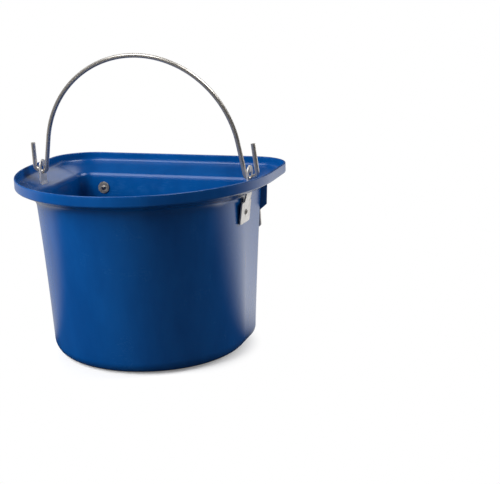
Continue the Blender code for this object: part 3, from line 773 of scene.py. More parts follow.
def ear_corners():
    """Corners of the plate's inner face in side view, as (out, up) from its rivet, top first."""
    pad = Vector((math.sin(EAR_PAD_LEAN), math.cos(EAR_PAD_LEAN))) * EAR_PAD_HEIGHT / 2
    knee_up = EAR_KNEE_HEIGHT - EAR_RIVET_HEIGHT
    knee = Vector((pad.x + (knee_up - pad.y) * math.tan(EAR_NECK_LEAN), knee_up))
    return [Vector((knee.x, EAR_TOP - EAR_RIVET_HEIGHT)), knee, pad, -pad]


def eye_shift(side):
    """How far along the plate its neck and eye stand from its rivet."""
    place = ear_frame(side)
    start = place @ Vector((0, 0, ear_corners()[0].x + EAR_THICKNESS / 2))
    along = place.to_3x3() @ Vector((1, 0, 0))
    return (EAR_Y - start.y) / along.y


def eye_centre(side):
    top = ear_corners()[0]
    return Vector((eye_shift(side), top.y - EYE_BELOW_TOP, top.x + EAR_THICKNESS / 2))


def back_frame(x, height):
    """Placement on the outer face of the back: X across, Y up the slope, Z outwards."""
    up = Vector((0, math.sin(BACK_DRAFT), math.cos(BACK_DRAFT)))
    out = Vector((0, math.cos(BACK_DRAFT), -math.sin(BACK_DRAFT)))
    return frame_matrix(Vector((x, back_face_y(height), height)), up.cross(out), up, out)


# Tub
def fin(side):
    """An upright rib that carries the rim from a back corner of the wall."""
    away = Vector((side * math.sin(FIN_TURN), math.cos(FIN_TURN)))
    half = Vector((away.y, -away.x)) * FIN_THICKNESS / 2
    rim_centre = Vector((side * (RIM_HALF_WIDTH - RIM_CORNER), RIM_BACK - RIM_CORNER))
    shoulder = SKIRT_HEIGHT - FIN_HEIGHT
    foot = shoulder - FIN_CHAMFER

    def corner_centre(height):
        return Vector((side * (wall_half_width(height) - WALL_CORNER), back_face_y(height) - WALL_CORNER))

    def root(height):
        along = (corner_centre(height) - corner_centre(shoulder)).dot(away) + WALL_CORNER - FIN_ROOT
        return corner_centre(shoulder) + away * along

    def under_rim(point):
        reach = (point - rim_centre).length
        return SKIRT_HEIGHT - (RIM_CORNER - reach) * FLANGE_FALL + FLANGE_LIFT * FIN_SINK_SHARE

    tip = root(shoulder) + away * (FIN_ROOT + FIN_REACH)
    top_tip = tip + away * FIN_TOP_REACH
    top_root = root(under_rim(root(shoulder)))
    outline = (
        (root(foot), foot), (tip, shoulder), (top_tip, under_rim(top_tip)), (top_root, under_rim(top_root)),
    )
    made = bmesh.new()
    loops = []
    for shift in (half, -half):
        loops.append([made.verts.new((*(spot + shift), height)) for spot, height in outline])
        made.faces.new(loops[-1])
    count = len(outline)
    for corner in range(count):
        after = (corner + 1) % count
        made.faces.new((loops[0][corner], loops[0][after], loops[1][after], loops[1][corner]))
    bmesh.ops.recalc_face_normals(made, faces=made.faces[:])
    made.verts.index_update()
    buried = (count - 1, 2 * count - 1)
    shown = [edge for edge in made.edges if not any(vertex.index in buried for vertex in edge.verts)]
    bmesh.ops.bevel(made, geom=shown, offset=FIN_EDGE, segments=ROUNDING_STEPS, affect="EDGES", profile=0.5)
    return made


def slot_cutter(side):
    knee = ear_corners()[1]
    neck = ear_frame(side) @ Matrix.Translation((eye_shift(side), knee.y, knee.x))
    half = EAR_NECK / 2 + SLOT_CLEARANCE
    return box(
        (-half, -EAR_NECK, -SLOT_CLEARANCE),
        (half, SLOT_OVERRUN, EAR_THICKNESS + SLOT_CLEARANCE),
        neck @ Matrix.Rotation(EAR_NECK_LEAN, 4, "X"),
    )


def build_tub():
    rim = d_outline(RIM_HALF_WIDTH, RIM_FRONT, RIM_BACK, RIM_CORNER, 0)
    sections = [Station(index, point).section() for index, point in enumerate(rim)]
    tub = shape_object("tub_shell", skin(list(zip(*sections))))
    cut(tub, "UNION", [fin(side) for _, side in SIDES])
    holes = []
    for _, side in SIDES:
        holes.append(slot_cutter(side))
        holes.append(drill(RIVET_HOLE, pad_frame(side)))
        for height in (HOOK_RIVET_HEIGHT, STRIP_RIVET_HEIGHT):
            holes.append(drill(RIVET_HOLE, back_frame(side * HOOK_X, height)))
    cut(tub, "DIFFERENCE", holes)
    finish(tub, tub_blue, "trough", ["tub"], TUB_RUBS)


# Flat bar
def rounded_end(half, radius, steps, shift=0.0):
    """Stops of a bar's rounded end: (distance from the end, left edge, right edge)."""
    turns = [math.pi / 2 * step / steps for step in range(steps + 1)]
    flat = radius - END_FLAT
    insets = [(radius * (1 - math.cos(turn)), min(radius * (1 - math.sin(turn)), flat)) for turn in turns]
    return [(far, shift - half + inset, shift + half - inset) for far, inset in insets]


def from_far_end(stops, whole):
    """The same stops at the other end of a bar of this whole length."""
    return [(whole - far, low, high) for far, low, high in reversed(stops)]


def bent(corners, radius):
    """Path of a bar from corner to corner, with a bend at each one between."""
    path = [corners[0]]
    for before, corner, after in zip(corners, corners[1:], corners[2:]):
        path += fillet(before, corner, after, radius, BAR_BEND_STEPS)
    return path + [corners[-1]]


def lengths_along(path):
    lengths = [0.0]
    for first, second in zip(path, path[1:]):
        lengths.append(lengths[-1] + (second - first).length)
    return lengths


def bar(path, thickness, stops):
    """Flat bar bent along a path of (out, up) points and lying to its left, its edges given at stops."""
    lengths = lengths_along(path)
    marks = []
    for mark in sorted(lengths + [stop[0] for stop in stops]):
        if not marks or mark - marks[-1] > SAME_MARK:
            marks.append(mark)
    rings = []
    for mark in marks:
        after = min(range(1, len(path)), key=lambda k: (lengths[k] < mark - SAME_MARK, k))
        first, second = path[after - 1], path[after]
        share = (mark - lengths[after - 1]) / (lengths[after] - lengths[after - 1])
        point = first + (second - first) * share
        here = (second - first).normalized()
        widening = 1.0
        if abs(mark - lengths[after]) < 2 * SAME_MARK and after + 1 < len(path):
            onward = (path[after + 1] - second).normalized()
            point = second
            middle = (here + onward).normalized()
            widening = 1 / middle.dot(here)
            here = middle
        far = point + Vector((-here.y, here.x)) * thickness * widening
        upper = min(range(1, len(stops)), key=lambda k: (stops[k][0] < mark - SAME_PLACE, k))
        low, high = stops[upper - 1], stops[upper]
        share = min(max((mark - low[0]) / (high[0] - low[0]), 0), 1)
        edges = [low[side] + (high[side] - low[side]) * share for side in (1, 2)]
        rings.append([(edges[0], *point), (edges[1], *point), (edges[1], *far), (edges[0], *far)])
    return skin(rings)


def run_on_path(path, place):
    """A function that gives the place of a point across, along and out of a bar bent along a path."""
    lengths, back = lengths_along(path), place.inverted()

    def run_of(point):
        local = back @ point
        flat = Vector((local.y, local.z))
        nearest = None
        for first, second, length in zip(path, path[1:], lengths):
            span = second - first
            share = min(max((flat - first).dot(span) / span.length_squared, 0), 1)
            away = (flat - first - span * share).length
            if nearest is None or away < nearest[0]:
                nearest = (away, length + span.length * share)
        return local.x, nearest[1], nearest[0]

    return run_of


# Ear plates
def build_ear(name, side):
    """A bent plate: a wide riveted pad, a neck that passes up through the rim, and an eye for the bail."""
    path = bent(ear_corners(), EAR_BEND_RADIUS)
    neck, shift = EAR_NECK / 2, eye_shift(side)
    whole = lengths_along(path)[-1]
    pad_start = whole - EAR_PAD_HEIGHT
    pad_corner = rounded_end(EAR_PAD_WIDTH / 2, EAR_PAD_CORNER, PAD_CORNER_STEPS)
    stops = rounded_end(neck, neck, END_STEPS, shift)
    stops.append((pad_start - GAP, shift - neck, shift + neck))
    stops += [(pad_start + far, low, high) for far, low, high in pad_corner]
    stops += from_far_end(pad_corner, whole)
    out_for_up = Matrix(((1, 0, 0, 0), (0, 0, 1, 0), (0, 1, 0, 0), (0, 0, 0, 1)))
    place = ear_frame(side) @ out_for_up
    plate = shape_object("ear_plate_steel_" + name, bar(path, EAR_THICKNESS, stops), place)
    cut(plate, "DIFFERENCE", [
        drill(EYE_DIAMETER, ear_frame(side) @ Matrix.Translation(eye_centre(side))),
        drill(RIVET_HOLE, pad_frame(side)),
    ])
    soften(plate, PLATE_EDGE)
    mark_run(plate.data, run_on_path(path, place))
    finish(plate, plate_steel, "trough", ["ear_plate_" + name], PLATE_RUBS)


def ear_inner_seat(side):
    """How far in from the pad's inner face the rivet's washer clears the inside of the wall."""
    rivet_y = EAR_Y - side * EAR_PAD_OFFSET
    turn = EAR_TURN - side_yaw(rivet_y, EAR_RIVET_HEIGHT)
    tilt = math.hypot(EAR_PAD_LEAN - SIDE_DRAFT, turn)
    sag = (WASHER_DIAMETER / 2) ** 2 / RIM_HALF_WIDTH / 2
    return (EAR_STANDOFF + WALL) / math.cos(tilt) + WASHER_DIAMETER / 2 * math.tan(tilt) + sag


# Hooks and strips
def hook_path():
    """Inner face of the hook in side view, from the end of its wall leg to the end of its free leg."""
    leg_foot = HOOK_RIVET_HEIGHT - HOOK_WIDTH / 2
    seat = back_frame(0, HOOK_RIVET_HEIGHT) @ Vector((0, 0, STRIP_THICKNESS + 2 * GAP + HOOK_THICKNESS))
    up = Vector((math.sin(BACK_DRAFT), math.cos(BACK_DRAFT)))
    on_leg = Vector((seat.y, seat.z))
    under = HOOK_TOP - HOOK_THICKNESS
    foot = on_leg + up * (leg_foot - on_leg.y) / up.y
    corner = on_leg + up * (under - on_leg.y) / up.y
    elbow = Vector((corner.x + HOOK_SPACE, under))
    down = Vector((math.sin(HOOK_SPLAY), -math.cos(HOOK_SPLAY)))
    tip = elbow + down * (HOOK_LEG - HOOK_THICKNESS)
    return bent((foot, corner, elbow, tip), HOOK_BEND_RADIUS)


def build_hook(name, side):
    """Flat bar bent twice: a short leg riveted to the strip, an arm, and a long free leg."""
    path, half = hook_path(), HOOK_WIDTH / 2
    whole = lengths_along(path)[-1]
    stops = rounded_end(half, half, END_STEPS)
    stops += from_far_end(rounded_end(half, HOOK_TIP_RADIUS, TIP_STEPS), whole)
    place = Matrix.Translation((side * HOOK_X, 0, 0))
    hook = shape_object("hook_steel_" + name, bar(path, HOOK_THICKNESS, stops), place)
    cut(hook, "DIFFERENCE", [drill(RIVET_HOLE, back_frame(side * HOOK_X, HOOK_RIVET_HEIGHT))])
    soften(hook, HOOK_EDGE)
    mark_run(hook.data, run_on_path(path, place))
    finish(hook, hook_steel, "trough", ["hook_" + name], HOOK_RUBS)


def back_junction():
    """Height at which the underside of the rim meets the outer face of the back."""
    reach = RIM_BACK - back_face_y(0)
    return (SKIRT_HEIGHT - reach * FLANGE_FALL) / (1 - math.tan(BACK_DRAFT) * FLANGE_FALL)


def build_strip(name, side):
    """Wear strip up the back, riveted at both ends, that the hook's short leg lies on."""
    up = Vector((math.sin(BACK_DRAFT), math.cos(BACK_DRAFT)))
    foot_height = STRIP_RIVET_HEIGHT - STRIP_WIDTH / 2
    seat = back_frame(0, foot_height) @ Vector((0, 0, GAP + STRIP_THICKNESS))
    foot = Vector((seat.y, seat.z))
    path = [foot, foot + up * (back_junction() - FLARE_RADIUS - foot_height)]
    half, whole = STRIP_WIDTH / 2, lengths_along(path)[-1]
    stops = rounded_end(half, half, END_STEPS) + [(whole, -half, half)]
    place = Matrix.Translation((side * HOOK_X, 0, 0))
    strip = shape_object("back_strip_blue_" + name, bar(path, STRIP_THICKNESS, stops), place)
    cut(strip, "DIFFERENCE", [
        drill(RIVET_HOLE, back_frame(side * HOOK_X, height))
        for height in (HOOK_RIVET_HEIGHT, STRIP_RIVET_HEIGHT)
    ])
    soften(strip, STRIP_EDGE)
    finish(strip, strip_blue, "trough", ["back_strip_" + name], STRIP_RUBS)


# Geometry Nodes
def grown(name, source, tree, values):
    """A plain mesh object made by a tree from a source object's data, which then goes."""
    made = linked(name, source)
    step = made.modifiers.new(tree.name, "NODES")
    step.node_group = tree
    sockets = {item.name: item.identifier for item in tree.interface.items_tree if item.in_out == "INPUT"}
    for label, value in values.items():
        step[sockets[label]] = value
    mesh = baked(made)
    bpy.data.objects.remove(made)
    return linked(name, mesh)


def new_shape_tree(name, source, sizes, result):
    """A Geometry Nodes group with a source shape, sizes with their values, and a finish."""
    inputs = {source: (SHAPE, None)}
    inputs.update((label, (FLOAT, value)) for label, value in sizes.items())
    inputs["Finish"] = ("NodeSocketMaterial", None)
    return new_group(name, inputs, {result: SHAPE}, "GeometryNodeTree")


def formed(tree, kind, feeds=None, **settings):
    """First output of a Geometry node."""
    return add(tree, "GeometryNode" + kind, feeds, **settings).outputs[0]


def half_of(tree, value):
    return sums(tree, "DIVIDE", value, 2.0)


def stored(tree, shape, name, value, data_type):
    feeds = {"Geometry": shape, "Name": name, "Value": value}
    return formed(tree, "StoreNamedAttribute", feeds, data_type=data_type, domain="POINT")


def along_facing(tree):
    """Turn that lays a piece's Z along the facing attribute of its point."""
    facing = formed(tree, "InputNamedAttribute", {"Name": "facing"}, data_type="FLOAT_VECTOR")
    return add(tree, "FunctionNodeAlignRotationToVector", {"Vector": facing}, axis="Z").outputs["Rotation"]


def put_out(tree, shape, given, out):
    """Ends a tree with real geometry in its finish."""
    real = formed(tree, "RealizeInstances", {"Geometry": shape})
    done = formed(tree, "SetMaterial", {"Geometry": real, "Material": given["Finish"]})
    tree.links.new(done, out.inputs[0])


def with_length(tree, curve, label):
    """A curve that keeps the length along it under a label, as a node's outputs."""
    length = add(tree, "GeometryNodeSplineParameter").outputs["Length"]
    kept = add(tree, "GeometryNodeCaptureAttribute", {"Geometry": curve})
    kept.capture_items.new("FLOAT", label)
    tree.links.new(length, kept.inputs[label])
    return kept.outputs


def build_drawn_wire_tree():
    """Round wire along a curve, whose own radius values narrow its ends."""
    tree, given, out = new_shape_tree("drawn_wire", "Path", {"Diameter": 0.006}, "Wire")
    radius = half_of(tree, given["Diameter"])
    ring = formed(tree, "CurvePrimitiveCircle", {"Resolution": WIRE_SIDES, "Radius": radius})
    path = with_length(tree, given["Path"], "Along")
    profile = with_length(tree, ring, "Around")
    wire = formed(tree, "CurveToMesh", {
        "Curve": path["Geometry"], "Profile Curve": profile["Geometry"], "Fill Caps": True,
    })
    turn = sums(tree, "DIVIDE", profile["Around"], radius)
    across = sums(tree, "MULTIPLY", sums(tree, "COSINE", turn), radius)
    outward = sums(tree, "MULTIPLY", sums(tree, "SINE", turn), radius)
    run = add(tree, "ShaderNodeCombineXYZ", {0: across, 1: path["Along"], 2: outward}).outputs[0]
    put_out(tree, stored(tree, wire, "run", run, "FLOAT_VECTOR"), given, out)
    return tree


def domed_blank(tree, given):
    """A rivet head of its sizes, standing on the origin, with its sunk pin marked as hollow, where the
    finish paints shade.
    """
    pin_wall, least_share, same_spot = 0.85, 0.0001, 0.000001
    blank = formed(tree, "MeshCylinder", {
        "Vertices": HEAD_SIDES, "Side Segments": 1, "Fill Segments": HEAD_RINGS, "Radius": 1.0,
        "Depth": 2.0,
    })
    spot = add(tree, "ShaderNodeSeparateXYZ", {0: formed(tree, "InputPosition")}).outputs
    squares = [sums(tree, "POWER", spot[axis], 2.0) for axis in (0, 1)]
    out_share = sums(tree, "MINIMUM", sums(tree, "SQRT", sums(tree, "ADD", *squares)), 1.0)
    widened = sums(tree, "SINE", sums(tree, "MULTIPLY", out_share, math.pi / 2))
    stretch = sums(tree, "DIVIDE", widened, sums(tree, "MAXIMUM", out_share, least_share))
    fall = sums(tree, "SUBTRACT", 1.0, sums(tree, "POWER", widened, given["Roundness"]))
    crown = sums(tree, "SQRT", sums(tree, "MAXIMUM", fall, 0.0))
    pin_share = sums(tree, "DIVIDE", given["Pin Diameter"], given["Diameter"])
    sunk = spread(tree, widened, sums(tree, "MULTIPLY", pin_share, pin_wall), pin_share, 1.0, 0.0)
    raised = sums(tree, "MULTIPLY", crown, given["Rise"])
    lift = sums(tree, "SUBTRACT", raised, sums(tree, "MULTIPLY", sunk, given["Pin Depth"]))
    on_top = sums(tree, "GREATER_THAN", spot[2], 0.0)
    scale = sums(tree, "MULTIPLY", stretch, half_of(tree, given["Diameter"]))
    target = add(tree, "ShaderNodeCombineXYZ", {
        0: sums(tree, "MULTIPLY", spot[0], scale),
        1: sums(tree, "MULTIPLY", spot[1], scale),
        2: sums(tree, "MULTIPLY", lift, on_top),
    }).outputs[0]
    marked = stored(tree, blank, "hollow", sums(tree, "MULTIPLY", sunk, on_top), "FLOAT")
    domed = formed(tree, "SetPosition", {"Geometry": marked, "Position": target})
    return formed(tree, "MergeByDistance", {"Geometry": domed, "Distance": same_spot})


def build_head_tree():
    """Domed rivet heads on points, each facing along its point, with a shank as long as its reach."""
    tree, given, out = new_shape_tree("rivet_heads", "Points", {
        "Diameter": 0.0068, "Rise": 0.0018, "Roundness": 2.0, "Pin Diameter": 0.002, "Pin Depth": 0.0003,
        "Shank Diameter": 0.004,
    }, "Heads")
    head, turn = domed_blank(tree, given), along_facing(tree)
    heads = formed(tree, "InstanceOnPoints", {
        "Points": given["Points"], "Instance": head, "Rotation": turn,
    })
    reach = formed(tree, "InputNamedAttribute", {"Name": "reach"}, data_type="FLOAT")
    rod = formed(tree, "MeshCylinder", {
        "Vertices": SHANK_SIDES, "Radius": half_of(tree, given["Shank Diameter"]), "Depth": 1.0,
    })
    shank = formed(tree, "Transform", {"Geometry": rod, "Translation": (0.0, 0.0, -0.5)})
    size = add(tree, "ShaderNodeCombineXYZ", {0: 1.0, 1: 1.0, 2: reach}).outputs[0]
    shanks = formed(tree, "InstanceOnPoints", {
        "Points": given["Points"], "Instance": shank, "Rotation": turn, "Scale": size,
    })
    both = add(tree, "GeometryNodeJoinGeometry")
    tree.links.new(heads, both.inputs[0])
    tree.links.new(shanks, both.inputs[0])
    put_out(tree, both.outputs[0], given, out)
    return tree


def build_washer_tree():
    """Flat rings with rounded edges on points, each facing along its point."""
    tree, given, out = new_shape_tree("washers", "Points", {
        "Diameter": 0.018, "Bore": 0.0046, "Thickness": 0.0015, "Edge Radius": 0.0003,
    }, "Washers")
    middle = sums(tree, "DIVIDE", sums(tree, "ADD", given["Diameter"], given["Bore"]), 4.0)
    width = half_of(tree, sums(tree, "SUBTRACT", given["Diameter"], given["Bore"]))
    ring = formed(tree, "CurvePrimitiveCircle", {"Resolution": ROUND_STEPS, "Radius": middle})
    section = formed(tree, "CurvePrimitiveQuadrilateral", {"Width": width, "Height": given["Thickness"]})
    rounded = formed(tree, "FilletCurve", {
        "Curve": section, "Radius": given["Edge Radius"], "Limit Radius": True, "Count": ROUNDING_STEPS,
    }, mode="POLY")
    washer = formed(tree, "CurveToMesh", {"Curve": ring, "Profile Curve": rounded})
    rise = add(tree, "ShaderNodeCombineXYZ", {2: half_of(tree, given["Thickness"])}).outputs[0]
    lifted = formed(tree, "Transform", {"Geometry": washer, "Translation": rise})
    laid = formed(tree, "InstanceOnPoints", {
        "Points": given["Points"], "Instance": lifted, "Rotation": along_facing(tree),
    })
    put_out(tree, laid, given, out)
    return tree


def facing_points(name, spots):
    """A mesh of loose points from (place, direction, reach), for a tree to set pieces on."""
    mesh = bpy.data.meshes.new(name)
    mesh.from_pydata([tuple(place) for place, _, _ in spots], [], [])
    facing = mesh.attributes.new("facing", "FLOAT_VECTOR", "POINT")
    for value, (_, direction, _) in zip(facing.data, spots):
        value.vector = direction
    reach = mesh.attributes.new("reach", "FLOAT", "POINT")
    for value, (_, _, length) in zip(reach.data, spots):
        value.value = length
    return mesh


# Bail
def bail_axis():
    """Half the distance between the plates, and the height of the wire in the bottom of the eyes."""
    centre = ear_frame(1) @ eye_centre(1)
    return centre.x, centre.z - (EYE_DIAMETER - WIRE) / 2 + GAP


def bail_path():
    """Centre line of the wire in the plane of the bail, as (across, up) from its axis."""
    leg_turn, rise, bend = BAIL_LEG_SPREAD, BAIL_FOOT_RISE, BAIL_BEND_RADIUS
    eye_x = bail_axis()[0]
    leg = Vector((eye_x - bend * math.cos(leg_turn), bend * (1 - math.sin(leg_turn))))
    drop = leg.x * math.cos(leg_turn) + (leg.y - BAIL_HEIGHT) * math.sin(leg_turn)
    radius = drop / (1 - math.sin(leg_turn))
    heel = Vector((eye_x + bend * math.sin(rise), bend * (1 - math.cos(rise))))
    knee = heel + BAIL_FOOT * Vector((math.cos(rise), math.sin(rise)))

    def half(stub, lean):
        tip = knee + stub * Vector((-math.sin(lean), math.cos(lean)))
        points = [tip, tip + (knee - tip).normalized() * WIRE_CHAMFER]
        points += fillet(tip, knee, heel, BAIL_KNEE_RADIUS, KNEE_STEPS)
        limit = rise + math.pi / 2 - leg_turn
        for step in range(EYE_BEND_STEPS + 1):
            turn = rise - limit * step / EYE_BEND_STEPS
            points.append(Vector((eye_x + bend * math.sin(turn), bend * (1 - math.cos(turn)))))
        for step in range(ARCH_STEPS + 1):
            turn = leg_turn + (math.pi / 2 - leg_turn) * step / ARCH_STEPS
            points.append(Vector((radius * math.cos(turn), BAIL_HEIGHT - radius + radius * math.sin(turn))))
        return points

    right, left = half(BAIL_STUB_RIGHT, BAIL_STUB_LEAN_RIGHT), half(BAIL_STUB_LEFT, BAIL_STUB_LEAN_LEFT)
    return right + [Vector((-point.x, point.y)) for point in reversed(left[:-1])]


def build_bail():
    """Round wire along the arch, the bends through the eyes and the short upright ends."""
    curve = bpy.data.curves.new("bail_path", "CURVE")
    curve.dimensions = "3D"
    path = bail_path()
    axis = Matrix.Translation((0, EAR_Y, bail_axis()[1])) @ Matrix.Rotation(BAIL_REST_LEAN, 4, "X")
    spline = curve.splines.new("POLY")
    spline.points.add(len(path) - 1)
    for point, target in zip(path, spline.points):
        target.co = (*(axis @ Vector((point.x, 0, point.y))), 1)
        target.radius = 1.0
    for end in (0, -1):
        spline.points[end].radius = 1 - WIRE_CHAMFER / WIRE * 2
    sizes = {"Diameter": WIRE_DRAWN, "Finish": bail_steel}
    bail = grown("bail_wire", curve, build_drawn_wire_tree(), sizes)
    finish(bail, bail_steel, "bail", ["bail"], BAIL_RUBS)


# Rivets and washers
def fastener_spots():
    """Where each rivet head and washer sits: (place, direction, reach to the other head).

    The outer head carries the shank, so a tail or washer has no reach.
    """
    ear_heads, ear_tails, back_heads, back_tails, washers = [], [], [], [], []

    def fasten(place, outer, seat, heads, tails):
        inner = -seat - WASHER_THICKNESS - GAP
        out = (place.to_3x3() @ Vector((0, 0, 1))).normalized()
        heads.append((place @ Vector((0, 0, outer)), out, outer - inner))
        tails.append((place @ Vector((0, 0, inner)), -out, NO_REACH))
        washers.append((place @ Vector((0, 0, -seat)), -out, NO_REACH))

    for _, side in SIDES:
        fasten(pad_frame(side), EAR_THICKNESS + GAP, ear_inner_seat(side) + GAP, ear_heads, ear_tails)
        for height, stack in (
            (HOOK_RIVET_HEIGHT, GAP + STRIP_THICKNESS + GAP + HOOK_THICKNESS),
            (STRIP_RIVET_HEIGHT, GAP + STRIP_THICKNESS),
        ):
            fasten(back_frame(side * HOOK_X, height), stack + GAP, WALL + GAP, back_heads, back_tails)
    return ear_heads, ear_tails, back_heads, back_tails, washers


def joined_as(name, parts):
    """One mesh object from several, which then go."""
    whole = bmesh.new()
    for part in parts:
        whole.from_mesh(part.data)
        bpy.data.objects.remove(part)
    mesh = bpy.data.meshes.new(name)
    whole.to_mesh(mesh)
    whole.free()
    return linked(name, mesh)


def fastener_nodes(kind):
    return [f"{place}_{kind}_{name}" for place in ("ear", "hook", "strip") for name, _ in SIDES]


def build_fastenings():
    """All rivets as one object and all washers as another."""
    ear_heads, ear_tails, back_heads, back_tails, washers = fastener_spots()
    heads = build_head_tree()
    flat_head = {
        "Diameter": EAR_HEAD_DIAMETER, "Rise": EAR_HEAD_HEIGHT, "Roundness": EAR_HEAD_ROUNDNESS,
        "Pin Diameter": EAR_HOLLOW, "Pin Depth": MANDREL_DEPTH,
    }
    round_head = {
        "Diameter": HEAD_DIAMETER, "Rise": HEAD_HEIGHT, "Roundness": HEAD_ROUNDNESS,
        "Pin Diameter": BACK_PIN, "Pin Depth": BACK_PIN_DEPTH,
    }
    tail = {**round_head, "Roundness": TAIL_ROUNDNESS, "Pin Diameter": TAIL_PIN, "Pin Depth": 0.0}
    shank = {"Shank Diameter": SHANK, "Finish": rivet_metal}
    parts = [
        grown(label, facing_points(label, spots), heads, {**values, **shank})
        for label, spots, values in (
            ("ear_heads", ear_heads, flat_head), ("back_heads", back_heads, round_head),
            ("tails", ear_tails + back_tails, tail),
        )
    ]
    finish(joined_as("rivets", parts), rivet_metal, "trough", fastener_nodes("rivet"), RIVET_RUBS)
    rings = grown("washer_rings", facing_points("washers", washers), build_washer_tree(), {
        "Diameter": WASHER_DIAMETER, "Bore": RIVET_HOLE, "Thickness": WASHER_THICKNESS,
        "Edge Radius": WASHER_EDGE, "Finish": washer_metal,
    })
    finish(rings, washer_metal, "trough", fastener_nodes("washer"), WASHER_RUBS)


build_tub()
build_bail()
for side_name, side_sign in SIDES:
    build_ear(side_name, side_sign)
    build_hook(side_name, side_sign)
    build_strip(side_name, side_sign)
build_fastenings()


# Studio
MIDDLE = (0.0, 0.0, 0.14)
CAMERA_PLACE = (0.56938, -1.38830, 0.52024)
CAMERA_AIM = (0.14729, 0.00393, 0.15483)
CAMERA_ROLL = math.radians(-1.287)
SENSOR_WIDTH, LENS_LENGTH = 36.0, 75.46

# What gloss sees of the room, by direction from the object. A range of directions is a pair of cosines.
FROM_FRONT = (0.38, -0.925, 0.0)
FROM_RIGHT = (0.925, 0.38, 0.0)
ROOM_FRONT = 0.04
ROOM_RIGHT = 1.5
ROOM_LEFT = 0.6
ROOM_BEHIND = 0.55
ROOM_OVERHEAD = 0.05
RIGHT_BEGINS = (0.30, -0.45)
RIGHT_ENDS = (-0.55, -0.90)
LEFT_BEGINS = (0.05, -0.35)
SIDES_MEET = (-0.15, 0.15)
OVERHEAD_BEGINS = (0.50, 0.78)
LOW_BEGINS = (0.36, 0.48)
LOW_SHARE = 0.12

# Windows that only gloss sees: direction, cosines at the edge and where it is full, and brightness
WINDOWS = (
    ((-0.354, -0.42, 0.84), 0.92, 0.975, 4.2),
    ((-0.10, 0.80, 0.58), 0.94, 0.985, 1.6),
    ((0.50, -0.06, 0.86), 0.925, 0.985, 6.0),
)

# Even fill from all round, and lamps: place, size and power
FILL = 0.14
PANELS = {
    "key_panel": ((-1.08, -1.30, 1.32), (1.5, 1.5), 78.0),
    "right_panel": ((1.75, 0.91, 0.86), (0.9, 1.2), 30.0),
    "back_panel": ((-0.90, 1.75, 0.90), (1.0, 1.0), 22.0),
}

# Reach of the tub's foot to the sides and the front, in which the floor's ranges are counted
FOOT_SIDE = 0.137
FOOT_FRONT = 0.136
SHADOW_SHIFT = 0.007
SHADOW_FADES = (0.95, 1.26)
SHADOW_LIGHTENED = 0.20
# The floor's glow that gloss sees is painted darker near the foot, a painted shadow in the object's
# reflections: where it fades, and the share left at the foot.
MIRRORED_SHADOW_FADES = (1.0, 1.25)
MIRRORED_SHADOW_SHARE = 0.4
FLOOR_REACH = 6.0
PAPER_LIT, PAPER_SEEN = (0.20, 0.20, 0.20), (0.85, 0.85, 0.85)


def facing_from(place, aim):
    """Placement of a camera or lamp that looks from one place at another."""
    turn = (Vector(aim) - Vector(place)).to_track_quat("-Z", "Y").to_matrix().to_4x4()
    return Matrix.Translation(place) @ turn


def build_camera():
    camera = linked("camera", bpy.data.cameras.new("camera"))
    camera.matrix_world = facing_from(CAMERA_PLACE, CAMERA_AIM) @ Matrix.Rotation(CAMERA_ROLL, 4, "Z")
    camera.data.sensor_width = SENSOR_WIDTH
    camera.data.lens = LENS_LENGTH
    bpy.context.scene.camera = camera


def build_panel(name, place, size, power):
    """A lamp that lights the object but isn't mirrored in it."""
    lamp = bpy.data.lights.new(name, "AREA")
    lamp.shape = "RECTANGLE"
    lamp.size, lamp.size_y = size
    lamp.energy = power
    made = linked(name, lamp)
    made.matrix_world = facing_from(place, MIDDLE)
    made.visible_camera = False
    made.visible_glossy = False


def between(tree, share, first, second):
    """Value from a first to a second one by a share."""
    return sums(tree, "MULTIPLY_ADD", share, sums(tree, "SUBTRACT", second, first), first)


def build_room():
    """Brightness by direction: dark ahead and overhead, a white wall right, grey ones left and behind."""
    tree, given, out = new_group("room", {"Direction": (VECTOR, None)}, {"Brightness": FLOAT})
    direction = given["Direction"]

    def along(ray, axis):
        feeds = {0: ray, 1: Vector(axis).normalized()}
        return add(tree, "ShaderNodeVectorMath", feeds, operation="DOT_PRODUCT").outputs["Value"]

    level = add(tree, "ShaderNodeVectorMath", {0: direction, 1: (1.0, 1.0, 0.0)}, operation="MULTIPLY")
    flat = add(tree, "ShaderNodeVectorMath", {0: level.outputs[0]}, operation="NORMALIZE").outputs[0]
    ahead, aside = along(flat, FROM_FRONT), along(flat, FROM_RIGHT)
    right = between(tree, spread(tree, ahead, *RIGHT_ENDS), ROOM_RIGHT, ROOM_BEHIND)
    right = between(tree, spread(tree, ahead, *RIGHT_BEGINS), ROOM_FRONT, right)
    left = spread(tree, ahead, *LEFT_BEGINS, ROOM_FRONT, ROOM_LEFT)
    whole = between(tree, spread(tree, aside, *SIDES_MEET), left, right)
    height = add(tree, "ShaderNodeSeparateXYZ", {0: direction}).outputs[2]
    whole = between(tree, spread(tree, height, *OVERHEAD_BEGINS), whole, ROOM_OVERHEAD)
    for middle, edge, full, brightness in WINDOWS:
        whole = between(tree, spread(tree, along(direction, middle), edge, full), whole, brightness)
    tree.links.new(whole, out.inputs["Brightness"])
    return tree


room = build_room()


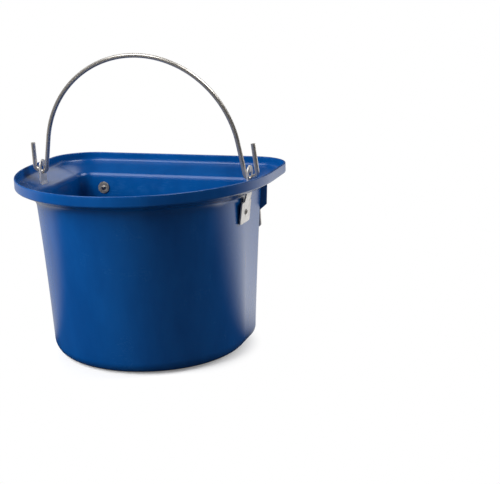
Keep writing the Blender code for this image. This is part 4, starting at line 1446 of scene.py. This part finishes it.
def build_world():
    """White to the camera, the room to gloss, and a soft even fill to everything else."""
    world = bpy.data.worlds.new("studio")
    bpy.context.scene.world = world
    world.use_nodes = True
    tree = world.node_tree
    sky = tree.nodes["Background"]
    direction = add(tree, "ShaderNodeTexCoord").outputs["Generated"]
    seen = effect(tree, room, {"Direction": direction})["Brightness"]
    height = add(tree, "ShaderNodeSeparateXYZ", {0: direction}).outputs[2]
    seen = sums(tree, "MULTIPLY", seen, spread(tree, height, *LOW_BEGINS, LOW_SHARE, 1.0))
    path = add(tree, "ShaderNodeLightPath").outputs
    strength = between(tree, path["Is Camera Ray"], between(tree, path["Is Glossy Ray"], FILL, seen), 1.0)
    sky.inputs["Color"].default_value = (1, 1, 1, 1)
    tree.links.new(strength, sky.inputs["Strength"])


def build_floor():
    """A white sheet that keeps the object's soft shadow near it and turns plain white further out. To gloss
    it glows with the room, with a painted shadow near the foot.
    """
    shape = bmesh.new()
    bmesh.ops.create_grid(shape, x_segments=1, y_segments=1, size=FLOOR_REACH)
    floor = shape_object("floor", shape)
    if floor.data.polygons[0].normal.z < 0:
        floor.data.flip_normals()
    made = bpy.data.materials.new("floor_white")
    made.use_nodes = True
    tree = made.node_tree
    tree.nodes.remove(tree.nodes["Principled BSDF"])
    place = add(tree, "ShaderNodeTexCoord").outputs["Object"]
    from_foot = add(tree, "ShaderNodeMapping", {
        "Vector": place, "Scale": (1 / FOOT_SIDE, 1 / FOOT_FRONT, 0.0),
        "Location": (SHADOW_SHIFT / FOOT_SIDE, (SHADOW_SHIFT - BODY_CENTRE_Y) / FOOT_FRONT, 0.0),
    }).outputs[0]
    away = add(tree, "ShaderNodeVectorMath", {0: from_foot}, operation="LENGTH").outputs["Value"]
    plain = spread(tree, away, *SHADOW_FADES, SHADOW_LIGHTENED, 1.0)
    path = add(tree, "ShaderNodeLightPath").outputs
    shadowless = sums(tree, "MULTIPLY", plain, path["Is Camera Ray"])
    share = sums(tree, "MAXIMUM", shadowless, path["Is Glossy Ray"])
    level = add(tree, "ShaderNodeVectorMath", {0: place}, operation="NORMALIZE").outputs[0]
    seen = effect(tree, room, {"Direction": level})["Brightness"]
    # Painted shadow: the floor's glow as gloss sees it is darkened near the foot.
    shown = sums(tree, "MULTIPLY", seen, spread(tree, away, *MIRRORED_SHADOW_FADES, MIRRORED_SHADOW_SHARE, 1.0))
    strength = between(tree, path["Is Glossy Ray"], 1.0, shown)
    paper = tint(tree, path["Is Camera Ray"], PAPER_LIT, PAPER_SEEN)
    sheet = add(tree, "ShaderNodeBsdfDiffuse", {"Color": paper}).outputs[0]
    glow = add(tree, "ShaderNodeEmission", {"Color": (1, 1, 1, 1), "Strength": strength}).outputs[0]
    mixed = add(tree, "ShaderNodeMixShader", {0: share, 1: sheet, 2: glow}).outputs[0]
    tree.links.new(mixed, tree.nodes["Material Output"].inputs["Surface"])
    floor.data.materials.append(made)


build_camera()
build_world()
build_floor()
for panel_name, panel in PANELS.items():
    build_panel(panel_name, *panel)

bpy.context.scene.view_settings.view_transform = "Standard"
